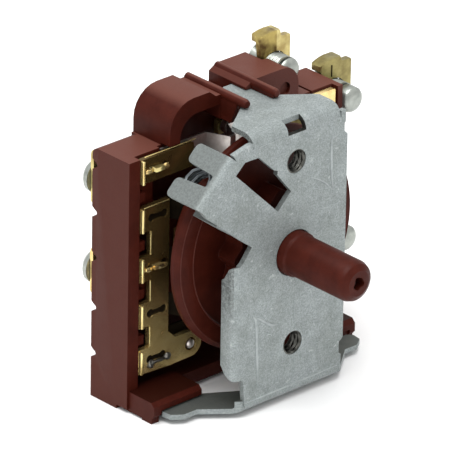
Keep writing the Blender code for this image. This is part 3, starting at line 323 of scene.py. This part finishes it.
def brass(name, light, dark, stain, roughness, bumps=0.2, fade=None):
    """Stamped brass with bronze-coloured tarnish in patches; fade is a colour that it takes higher up."""
    surface, nodes, links, shader = new_material(name)
    places = object_places(nodes, links)
    patch = noise(nodes, links, places, 0.45, 3, 0.5)
    fine = noise(nodes, links, places, 2.4, 3, 0.5)
    wear = noise(nodes, links, places, 0.9, 2, 0.4)
    colour = ramp(nodes, links, patch, 0.30, stain, dark, light)
    if fade:
        height = parts_of(nodes, links, places)["Z"]
        colour = mix(nodes, links, spread(nodes, links, height, *COMB_FADE), colour, fade)
    shade = ramp(nodes, links, fine, 0.3, 0.7, (0.92, 0.91, 0.88), (1.04, 1.04, 1.02))
    links.new(mix(nodes, links, 1.0, colour, shade, "MULTIPLY"), shader.inputs["Base Color"])
    gloss = spread(nodes, links, patch, 0.3, 0.7, roughness + 0.10, roughness - 0.02)
    links.new(gloss, shader.inputs["Roughness"])
    shader.inputs["Metallic"].default_value = 0.80
    bump(nodes, links, shader, wear, 0.06, bumps)
    return surface


def plated(name, light, dark, roughness, metallic=1.0):
    """Bright plated metal with slight clouding."""
    surface, nodes, links, shader = new_material(name)
    places = object_places(nodes, links)
    cloud = noise(nodes, links, places, 0.8, 5, 0.6)
    fine = noise(nodes, links, places, 1.6, 2, 0.5)
    links.new(ramp(nodes, links, cloud, 0.32, 0.68, dark, light), shader.inputs["Base Color"])
    gloss = spread(nodes, links, cloud, 0.3, 0.7, roughness + 0.07, roughness - 0.05)
    links.new(gloss, shader.inputs["Roughness"])
    shader.inputs["Metallic"].default_value = metallic
    bump(nodes, links, shader, fine, 0.03, 0.16)
    return surface


# The housing's last two colours are a painted sheen for high upward faces and painted light for the outer left
# wall
HOUSING = phenolic("phenolic_housing", (0.040, 0.0058, 0.0028), (0.060, 0.0098, 0.0052), 0.46, 0.09,
                   (0.116, 0.0400, 0.0290), (0.070, 0.0180, 0.0120))
ROTOR = phenolic("phenolic_rotor", (0.040, 0.0062, 0.0032), (0.062, 0.0106, 0.0058), 0.42, 0.09)
# A lighter phenolic for the thin rings on the disc: painted highlights along the rim's edges
PAINTED_RIM_HIGHLIGHT = phenolic("rim_painted_highlight", (0.062, 0.0140, 0.0095), (0.090, 0.0250, 0.0180), 0.42, 0.10)
# Near-black painted shade for the leaf springs behind the comb, the keyhole grounds and the crack in the upper
# terminal's ear
PAINTED_SHADE_DARK = phenolic("near_black_painted_shade", (0.006, 0.004, 0.002), (0.015, 0.010, 0.005), 0.60, 0.03)
SHEET = galvanised("galvanised_sheet")
BRASS = brass("stamped_brass", (0.92, 0.70, 0.31), (0.64, 0.45, 0.18), 0.62, 0.18)
COMB_BRASS = brass("comb_brass", (0.92, 0.70, 0.31), (0.64, 0.45, 0.18), 0.62, 0.18, fade=COMB_DARK)
PLATE_BRASS = brass("plate_brass", (0.205, 0.138, 0.048), (0.10, 0.064, 0.022), 0.60, 0.20)
TARNISHED = brass("tarnished_brass", (0.62, 0.53, 0.23), (0.36, 0.27, 0.10), 0.58, 0.26, 0.5)
PATINA = brass("patina_brass", (0.40, 0.31, 0.10), (0.10, 0.055, 0.015), 0.56, 0.30, 0.9)
DULL_BRASS = brass("dull_brass", (0.31, 0.265, 0.105), (0.15, 0.115, 0.038), 0.60, 0.34, 0.9)
# Brighter brass for painted highlights along the comb's edges and the ends of its teeth
PAINTED_HIGHLIGHT_BRASS = brass("brass_painted_highlight", (0.95, 0.78, 0.36), (0.70, 0.52, 0.20), 0.60, 0.20)
ZINC = plated("bright_zinc", (0.41, 0.43, 0.395), (0.27, 0.29, 0.265), 0.32, 0.85)
MARK = plated("pressed_zinc", (0.41, 0.445, 0.445), (0.30, 0.33, 0.33), 0.60, 0.45)
SILVER = plated("contact_silver", (0.96, 0.90, 0.86), (0.70, 0.64, 0.59), 0.38)
STAKED = plated("staked_silver", (0.30, 0.29, 0.26), (0.10, 0.095, 0.085), 0.36)
WIRE = plated("spring_wire", (0.21, 0.235, 0.25), (0.09, 0.10, 0.105), 0.36, 0.85)
# Dark steel: the threads' colour darkened with painted shade deep in the mounting holes, and painted shade on
# the sides and sill of the bracket's window
PAINTED_SHADE_STEEL = plated("thread_steel_with_painted_shade", (0.15, 0.15, 0.135), (0.035, 0.035, 0.03), 0.30, 0.9)

SLOT_FINISHES = {
    "phenolic": HOUSING,
    "phenolic_rotor": ROTOR,
    "galvanised_sheet": SHEET,
    "brass": BRASS,
    "zinc_plated_steel": ZINC,
    "contact_silver": SILVER,
    "spring_steel": WIRE,
}
NODE_FINISHES = {
    "contact_comb": COMB_BRASS,
    "contact_plate": PLATE_BRASS,
    "top_terminal": TARNISHED,
    "upper_terminal": DULL_BRASS,
    "left_terminal_1": TARNISHED,
    # The leaf springs behind the comb take the near-black painted shade
    "leaf_spring_2": PAINTED_SHADE_DARK,
    "leaf_spring_3": PAINTED_SHADE_DARK,
    "leaf_spring_4": PAINTED_SHADE_DARK,
    "leaf_spring_5": PAINTED_SHADE_DARK,
}

# Widths of the rounded edges
NODE_EDGES = {
    "housing": 0.16,
    "bracket": 0.10,
    "cam_disc": 0.12,
    "shaft": 0.08,
    "contact_comb": 0.07,
    "contact_plate": 0.07,
    "top_terminal": 0.09,
    "upper_terminal": 0.09,
    "lower_terminal": 0.09,
    "detent_plunger": 0.1,
}


# Piece helpers

def finish_piece(item, surface, body):
    item.data.materials.clear()
    item.data.materials.append(surface)
    bpy.context.scene.collection.objects.link(item)
    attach(item, body)
    return item


def new_piece(name, shape, surface, body, sharp=None):
    """An object made from a shape, smooth but for the edges that turn by more than the sharp angle."""
    bmesh.ops.recalc_face_normals(shape, faces=shape.faces)
    mesh = bpy.data.meshes.new(name)
    shape.to_mesh(mesh)
    shape.free()
    mesh.shade_smooth()
    if sharp:
        mesh.set_sharp_from_angle(angle=math.radians(sharp))
    return finish_piece(bpy.data.objects.new(name, mesh), surface, body)


def circle(shape, centre, radius, y, sides):
    """A ring of points about an axis along Y."""
    angles = [2 * math.pi * corner / sides for corner in range(sides)]
    return [shape.verts.new(at(centre[0] + radius * math.cos(angle), y, centre[1] + radius * math.sin(angle)))
            for angle in angles]


def join_rings(shape, rings):
    """Faces between each ring and the next; a ring of one point is a tip."""
    for first, second in zip(rings, rings[1:]):
        sides = max(len(first), len(second))
        for corner in range(sides):
            following = (corner + 1) % sides
            if len(first) == 1:
                shape.faces.new((first[0], second[following], second[corner]))
            elif len(second) == 1:
                shape.faces.new((first[corner], first[following], second[0]))
            else:
                shape.faces.new((first[corner], first[following], second[following], second[corner]))


def close_ends(shape, rings):
    shape.faces.new(rings[0])
    shape.faces.new(list(reversed(rings[-1])))


def dress(node):
    """A copy of a solid with its flat faces joined, its edges rounded and its round faces smooth."""
    source = NODES[node]
    shape = bmesh.new()
    shape.from_mesh(source.data)
    bmesh.ops.remove_doubles(shape, verts=shape.verts, dist=WELD)
    bmesh.ops.dissolve_limit(shape, angle_limit=math.radians(FLAT_ANGLE), verts=shape.verts,
                             edges=shape.edges)
    mesh = bpy.data.meshes.new(node + "_dressed")
    shape.to_mesh(mesh)
    shape.free()
    mesh.shade_smooth()
    mesh.set_sharp_from_angle(angle=math.radians(SMOOTH_ANGLE))
    item = bpy.data.objects.new(node + "_dressed", mesh)
    surface = NODE_FINISHES.get(node, SLOT_FINISHES[SLOTS[node]])
    finish_piece(item, surface, source["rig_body"])
    if node in NODE_EDGES:
        bevel = item.modifiers.new("Edge", "BEVEL")
        bevel.width = NODE_EDGES[node] * MM
        bevel.segments = 2
        bevel.limit_method = "ANGLE"
        bevel.angle_limit = math.radians(SMOOTH_ANGLE)
        bevel.harden_normals = True
        bevel.use_clamp_overlap = True
    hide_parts(node)
    return item


def thread_ring(shape, centre, radius, y, depth, turns, fade):
    """One ring of a helical thread, which runs once through its depth around the ring."""
    ring = []
    for corner in range(THREAD_SIDES):
        angle = 2 * math.pi * corner / THREAD_SIDES
        phase = (turns - corner / THREAD_SIDES) % 1.0
        reach = radius - depth * (1 - abs(2 * phase - 1)) * fade
        ring.append(shape.verts.new(at(centre[0] + reach * math.cos(angle), y,
                                       centre[1] + reach * math.sin(angle))))
    return ring


def threaded_bar(name, centre, radius, front, back, pitch, depth):
    """A solid bar along Y with a helical thread that runs out at both ends."""
    steps = max(THREAD_STEPS, int((back - front) / pitch * THREAD_STEPS))
    shape = bmesh.new()
    rings = []
    for index in range(steps + 1):
        y = front + (back - front) * index / steps
        fade = min(1.0, (y - front) / pitch, (back - y) / pitch)
        rings.append(thread_ring(shape, centre, radius, y, depth, (y - front) / pitch, fade))
    join_rings(shape, rings)
    close_ends(shape, rings)
    new_piece(name, shape, ZINC, "housing", SHARP_ANGLE)


def threaded_hole(name, height, front, back, skin):
    """The threaded wall of a mounting hole, closed by an outer skin."""
    centre = (0, height)
    steps = int((back - front) / HOLE_PITCH * THREAD_STEPS)
    shape = bmesh.new()
    rings = []
    for index in range(steps + 1):
        y = front + (back - front) * index / steps
        rings.append(thread_ring(shape, centre, HOLE_RADIUS, y, HOLE_THREAD, (y - front) / HOLE_PITCH, 1.0))
    outer_front = circle(shape, centre, HOLE_RADIUS + skin, front, THREAD_SIDES)
    outer_back = circle(shape, centre, HOLE_RADIUS + skin, back, THREAD_SIDES)
    join_rings(shape, rings + [outer_back, outer_front, rings[0]])
    # The hole's thread is coloured with painted shade
    new_piece(name, shape, PAINTED_SHADE_STEEL, "housing", SHARP_ANGLE)


def lathe(name, centre, profile):
    """A closed round piece along Y; the profile gives radius and depth from axis to axis."""
    shape = bmesh.new()
    rings = []
    for radius, y in profile:
        if radius == 0:
            rings.append([shape.verts.new(at(centre[0], y, centre[1]))])
        else:
            rings.append(circle(shape, centre, radius, y, LATHE_SIDES))
    join_rings(shape, rings)
    new_piece(name, shape, ZINC, "housing", SHARP_ANGLE)


def dress_screw(node):
    """A screw whose shank is thinned to carry a helical thread, with a groove behind its domed end."""
    item = dress(node)
    centre = TERMINAL_SCREWS[node]
    tip, neck = SCREW_TIPS[node]
    axis = at(centre[0], 0, centre[1])
    for vertex in item.data.vertices:
        if vertex.co.y < at(0, SCREW_SEAT + 0.05, 0).y:
            vertex.co.x = axis.x + (vertex.co.x - axis.x) * SHANK_SHARE
            vertex.co.z = axis.z + (vertex.co.z - axis.z) * SHANK_SHARE
            vertex.co.y = max(vertex.co.y, at(0, tip + 0.3, 0).y)
    dome = ((0, tip), (0.4, tip + 0.05), (0.7, tip + 0.2), (0.9, tip + 0.5), (0.97, tip + 0.75),
            (0.98, neck - 0.2), (0.92, neck), (0.5, neck + 0.05), (0, neck + 0.05))
    lathe(node + "_tip", centre, [(share * SCREW_RADIUS, y) for share, y in dome])
    threaded_bar(node + "_thread", centre, SCREW_RADIUS, neck + 0.25, SCREW_SEAT - 0.1, SCREW_PITCH,
                 SCREW_THREAD)


def bend_plate(item, crease, low, slope, rise):
    """Turns the part of a plate left of an upright crease back a little, and rounds its ear over."""
    shape = bmesh.new()
    shape.from_mesh(item.data)
    cuts = [((place, 0, 0), (1, 0, 0)) for place in (crease, crease - 0.7, crease - 1.5)]
    cuts.append(((0, 0, low), (0, 0, 1)))
    for place, direction in cuts:
        everything = list(shape.verts) + list(shape.edges) + list(shape.faces)
        bmesh.ops.bisect_plane(shape, geom=everything, plane_co=at(*place), plane_no=direction)
    for vertex in shape.verts:
        across = crease - vertex.co.x / MM
        above = vertex.co.z / MM - SHAFT_HEIGHT - low
        if across > 0 and above > 0:
            lift = min(above / 1.5, 1.0)
            vertex.co.y += across * slope * lift * MM
            vertex.co.z -= across * across * rise * lift * MM
    shape.to_mesh(item.data)
    shape.free()


def stain_left(item, crease, low, surface):
    """Gives the faces left of the crease and above the given height a second finish."""
    item.data.materials.append(surface)
    corner = at(crease, ORIGIN_DEPTH, low)
    for face in item.data.polygons:
        if face.center.x < corner.x and face.center.z > corner.z:
            face.material_index = 1


def round_tabs(item, radius):
    """Rounds the free corners of the detent arm's bent end."""
    shape = bmesh.new()
    shape.from_mesh(item.data)
    across = Vector((-1, 0, 1)).normalized()
    front = at(0, TAB_DEPTH - 0.05, 0).y
    back = at(0, TAB_DEPTH + 0.05, 0).y
    corners = []
    for edge in shape.edges:
        first, second = (vertex.co for vertex in edge.verts)
        run = second - first
        at_end = front < min(first.y, second.y) and max(first.y, second.y) < back
        through_sheet = 0.6 < run.length / MM < 1.0 and abs(run.normalized().dot(across)) > 0.98
        if at_end and through_sheet and first.x < at(TAB_LIMIT, 0, 0).x:
            corners.append(edge)
    bmesh.ops.bevel(shape, geom=corners, offset=radius * MM, segments=5, profile=0.5, affect="EDGES")
    shape.to_mesh(item.data)
    shape.free()


def paint_window_shade(item, low, high, sill_limit, surface):
    """Paints shade as a second finish on a window's sides between two corners, and on its sill below the
    limit.
    """
    item.data.materials.append(surface)
    first, second = at(*low), at(*high)
    for face in item.data.polygons:
        inside = all(first[i] < face.center[i] < second[i] for i in range(3))
        is_side = abs(face.normal.x) > 0.7
        is_sill = face.normal.z > 0.7 and face.center.z < at(0, 0, sill_limit).z
        if inside and (is_side or is_sill):
            face.material_index = 1


def roughen_hole(item, radius, factor):
    """Breaks the round edge of the moulding hole in the shaft's tip."""
    axis = at(0, 0, 0)
    for vertex in item.data.vertices:
        reach = math.hypot(vertex.co.x - axis.x, vertex.co.z - axis.z)
        on_hole = radius * 0.9 * MM < reach < radius * 1.05 * MM
        if vertex.co.y < at(0, -10, 0).y and on_hole:
            angle = math.atan2(vertex.co.z - axis.z, vertex.co.x - axis.x)
            wave = 0.6 * math.cos(3 * angle + 0.7) + 0.4 * math.cos(5 * angle + 2.0) + 0.35
            vertex.co.x = axis.x + (vertex.co.x - axis.x) * (1 + factor * wave)
            vertex.co.z = axis.z + (vertex.co.z - axis.z) * (1 + factor * wave)


def ridge(name, points, width, height):
    """A low raised line on the bracket's front face, through the given places, thin at both ends."""
    shape = bmesh.new()
    section = ((-0.5, -0.05), (-0.3, 0.7), (0, 1), (0.3, 0.7), (0.5, -0.05))
    last = len(points) - 1
    rings = []
    for index, (x, z) in enumerate(points):
        run = (Vector(points[min(index + 1, last)]) - Vector(points[max(index - 1, 0)])).normalized()
        size = 0.35 if index in (0, last) else 1.0
        rings.append([shape.verts.new(at(x - run.y * across * width * size, -rise * height * size,
                                         z + run.x * across * width * size)) for across, rise in section])
    join_rings(shape, rings)
    close_ends(shape, rings)
    new_piece(name, shape, MARK, "housing")


def nugget(name, place, size, surface, seed):
    """A crushed lump of metal where a rivet or tab end was staked over."""
    shape = bmesh.new()
    bmesh.ops.create_icosphere(shape, subdivisions=3, radius=1.0)
    for vertex in shape.verts:
        bulge = 1 + 0.42 * turbulence.noise(vertex.co * 1.6 + Vector((seed, 0, 0)))
        vertex.co = at(*[place[i] + vertex.co[i] * size[i] * bulge for i in range(3)])
    new_piece(name, shape, surface, "housing")


def bar(name, low, high, surface, edge):
    """A narrow strip with rounded edges between two corners, in the given finish."""
    shape = bmesh.new()
    bmesh.ops.create_cube(shape, size=1.0)
    first, second = at(*low), at(*high)
    middle = (first + second) / 2
    for vertex in shape.verts:
        vertex.co = middle + Vector([vertex.co[i] * (second[i] - first[i]) for i in range(3)])
    bmesh.ops.bevel(shape, geom=list(shape.edges), offset=edge * MM, segments=2, profile=0.5,
                    affect="EDGES")
    new_piece(name, shape, surface, "housing")


def hoop(name, radius, y, thickness):
    """A thin raised ring on the disc, about the shaft's axis, coloured as a painted highlight."""
    shape = bmesh.new()
    rings = []
    for step in range(HOOP_STEPS):
        turn = 2 * math.pi * step / HOOP_STEPS
        ring = []
        for side in range(HOOP_SIDES):
            tilt = 2 * math.pi * side / HOOP_SIDES
            reach = radius + thickness * math.cos(tilt)
            place = at(reach * math.cos(turn), y + thickness * math.sin(tilt), reach * math.sin(turn))
            ring.append(shape.verts.new(place))
        rings.append(ring)
    join_rings(shape, rings + rings[:1])
    new_piece(name, shape, PAINTED_RIM_HIGHLIGHT, "rotor")


# Solids, each dressed in its place

for node in NODES:
    if node in TERMINAL_SCREWS:
        dress_screw(node)
        continue
    piece = dress(node)
    if node == "top_terminal":
        bend_plate(piece, 11.1, 19.4, 0.22, 0.10)
        stain_left(piece, 11.1, 18.0, PATINA)
    elif node == "upper_terminal":
        bend_plate(piece, 22.9, 12.4, 0.16, 0.12)
    elif node == "bracket":
        round_tabs(piece, 0.8)
        # Painted shade on the sides and sill of the bracket's window
        paint_window_shade(piece, (-2.4, -0.5, 16.0), (4.4, 4.0, 20.4), 18.6, PAINTED_SHADE_STEEL)
    elif node == "shaft":
        roughen_hole(piece, 0.85, 0.22)

for label, height in MOUNT_HOLES.items():
    threaded_hole("thread_" + label, height, 0.12, 2.3, 0.02)

# Pressed marks and scratches on the bracket's face, as places across and up
ridge("mark_upper", [(7.6, 15.9), (6.75, 15.3), (6.65, 14.2), (6.7, 12.0), (6.8, 9.6), (7.1, 7.5)], 0.46, 0.09)
ridge("mark_upper_hook", [(7.1, 7.45), (5.6, 9.0), (4.3, 9.9), (2.7, 10.7)], 0.30, 0.10)
ridge("mark_lower", [(-7.6, -7.6), (-7.1, -8.2), (-6.95, -10.0), (-6.75, -14.0), (-6.5, -18.6)], 0.55, 0.10)
ridge("mark_lower_hook", [(-6.9, -8.0), (-6.0, -8.5), (-5.2, -9.2), (-4.2, -9.9), (-3.0, -10.2)], 0.50, 0.12)
ridge("scratch_upper", [(0.1, -6.8), (0.2, -9.0), (0.3, -11.6)], 0.10, 0.05)
ridge("scratch_lower", [(0.5, -16.3), (0.55, -18.0), (0.6, -19.6)], 0.10, 0.05)

# Staked ends in the keyholes of the brass at the left:
# name, place across and up, half width and half height
STAKE_FRONT = 11.9
STAKE_DEPTH = 0.34
BRASS_STAKES = (("first_left", -16.6, 13.3, 0.80, 0.36), ("first_right", -13.6, 13.3, 0.75, 0.42),
                ("third_left", -16.6, -1.8, 0.75, 0.36), ("third_right", -13.7, -1.9, 0.70, 0.36))
SILVER_STAKES = (("fifth_left", -15.9, -16.7, 0.58, 0.62), ("fifth_right", -12.8, -16.4, 0.64, 0.58),
                 ("fifth_bar", -14.3, -16.5, 1.30, 0.24))
for stakes, surface, slot in ((BRASS_STAKES, BRASS, "brass"), (SILVER_STAKES, STAKED, "contact_silver")):
    for label, x, z, wide, tall in stakes:
        nugget("staked_" + label, (x, STAKE_FRONT, z), (wide, STAKE_DEPTH, tall), surface, x + z)

# Bent lips at the left ends of the brass teeth, and thin strips along the cut edges between them, all in brass
# with a painted highlight
for index, row in enumerate(ROWS, 1):
    bar(f"tooth_lip_{index}", (-18.08, 11.45, row - 1.8), (-17.6, 12.1, row + 1.8), PAINTED_HIGHLIGHT_BRASS, 0.14)
for index, (upper, lower) in enumerate(zip(ROWS[1:], ROWS[2:]), 1):
    bar(f"spine_edge_{index}", (-16.22, 11.85, lower + 2.0), (-16.02, 12.1, upper - 2.0), PAINTED_HIGHLIGHT_BRASS, 0.05)

# Painted shade: dark pieces behind the keyholes in three rows, at both ends and the slot between them
for index in KEYHOLE_ROWS:
    row = ROWS[index - 1]
    for label, left, right, half in (("left", KEYHOLE_LEFT - 0.55, KEYHOLE_LEFT + 0.55, 0.55),
                                     ("right", KEYHOLE_RIGHT - 0.55, KEYHOLE_RIGHT + 0.55, 0.55),
                                     ("slot", KEYHOLE_LEFT + 0.4, KEYHOLE_RIGHT - 0.4, 0.32)):
        bar(f"keyhole_shade_{index}_{label}", (left, 12.15, row - half), (right, 12.3, row + half),
            PAINTED_SHADE_DARK, 0.05)

# Painted highlights along the upper edges of the comb and of the plate above it, and painted shade as a dark
# line in a crack of the upper terminal's ear
bar("comb_edge", (-17.5, 11.84, 7.8), (-12.8, 11.98, 7.92), PAINTED_HIGHLIGHT_BRASS, 0.04)
bar("plate_edge", (-17.5, 11.82, 15.62), (-8.0, 11.98, 15.74), PAINTED_HIGHLIGHT_BRASS, 0.04)
bar("ear_crack", (21.95, 16.24, 14.6), (22.1, 16.6, 16.4), PAINTED_SHADE_DARK, 0.03)

# Painted highlights along the inner and outer edges of the disc's rim
hoop("rim_edge_inner", 13.75, 5.82, 0.10)
hoop("rim_edge_outer", 16.05, 5.82, 0.07)

# Small nicks in the zinc: place across and up, and length
NICKS = ((4.3, -10.5, 0.7), (4.4, -15.6, 0.5), (7.2, -15.9, -0.6), (4.65, -19.7, 0.5), (-3.3, -19.4, 0.8),
         (-5.1, -11.3, 0.9), (-7.6, -9.6, 0.5), (3.4, 8.6, 0.7), (5.6, 12.4, 0.5), (-4.6, 1.6, 0.6),
         (8.6, 5.2, -0.5), (1.6, -7.2, 0.5))
for index, (x, z, run) in enumerate(NICKS, 1):
    ridge(f"nick_{index}", [(x, z), (x + run * 0.5, z + 0.12), (x + run, z - 0.05)], 0.22, 0.07)

# Fold lines at the top and bottom of the bracket's plate
ridge("fold_line", [(-8.4, 18.3), (-1.9, 18.3)], 0.24, 0.05)
ridge("crease_low", [(-8.7, -20.6), (-3.0, -20.55), (3.0, -20.5), (8.8, -20.4)], 0.30, 0.03)


# Floor, light and camera

def make_floor():
    mesh = bpy.data.meshes.new("floor")
    shape = bmesh.new()
    bmesh.ops.create_grid(shape, x_segments=1, y_segments=1, size=3.0)
    shape.to_mesh(mesh)
    shape.free()
    floor = bpy.data.objects.new("floor", mesh)
    surface, nodes, links, shader = new_material("pale_floor")
    shader.inputs["Base Color"].default_value = (0.93, 0.93, 0.93, 1)
    shader.inputs["Roughness"].default_value = 0.9
    shader.inputs["Specular IOR Level"].default_value = 0.1
    floor.data.materials.append(surface)
    bpy.context.scene.collection.objects.link(floor)


def make_sky():
    """A soft sky that is brightest above the switch and a little to its left."""
    world = bpy.data.worlds.new("studio")
    bpy.context.scene.world = world
    world.use_nodes = True
    nodes, links = world.node_tree.nodes, world.node_tree.links
    background = nodes["Background"]
    background.inputs["Color"].default_value = (1, 1, 1, 1)
    direction = nodes.new("ShaderNodeTexCoord").outputs["Generated"]
    toward = along(nodes, links, direction, BRIGHT_SIDE)
    links.new(spread(nodes, links, toward, -0.6, 1.0, 0.72, 1.08), background.inputs["Strength"])


def make_lamp():
    """One large lamp above the switch, aimed at its middle."""
    place = Vector((-0.14, -0.06, 0.58))
    target = Vector((0, 0, 0.025))
    data = bpy.data.lights.new("key", "AREA")
    data.shape = "DISK"
    data.size = 0.5
    data.energy = 3.0
    lamp = bpy.data.objects.new("key", data)
    lamp.location = place
    lamp.rotation_euler = (target - place).to_track_quat("-Z", "Y").to_euler()
    bpy.context.scene.collection.objects.link(lamp)


def make_camera():
    """A long lens from the photograph's side, with the shaft's axis at the bracket's front in its place."""
    azimuth = math.radians(43.0)
    elevation = math.radians(25.75)
    roll = math.radians(1.0)
    picture = 450
    pixels_per_mm = 7.205
    origin_pixel = (294.5, 252.5)
    distance = 1.0
    sensor = 36.0
    right = Vector((math.cos(azimuth), -math.sin(azimuth), 0))
    forward = Vector((math.sin(azimuth), math.cos(azimuth), 0)) * math.cos(elevation)
    forward.z = -math.sin(elevation)
    up = right.cross(forward)
    rolled_right = right * math.cos(roll) + up * math.sin(roll)
    rolled_up = up * math.cos(roll) - right * math.sin(roll)
    across, down = ((picture / 2 - value) / pixels_per_mm * MM for value in origin_pixel)
    aim = at(0, 0, 0) + rolled_right * across - rolled_up * down
    data = bpy.data.cameras.new("camera")
    data.sensor_width = sensor
    data.lens = pixels_per_mm / MM * distance / picture * sensor
    data.clip_start = 0.01
    data.clip_end = 20.0
    camera = bpy.data.objects.new("camera", data)
    turn = Matrix((rolled_right, rolled_up, -forward)).transposed().to_4x4()
    camera.matrix_world = Matrix.Translation(aim - forward * distance) @ turn
    bpy.context.scene.collection.objects.link(camera)
    bpy.context.scene.camera = camera


make_floor()
make_sky()
make_lamp()
make_camera()
bpy.context.scene.view_settings.view_transform = "Standard"
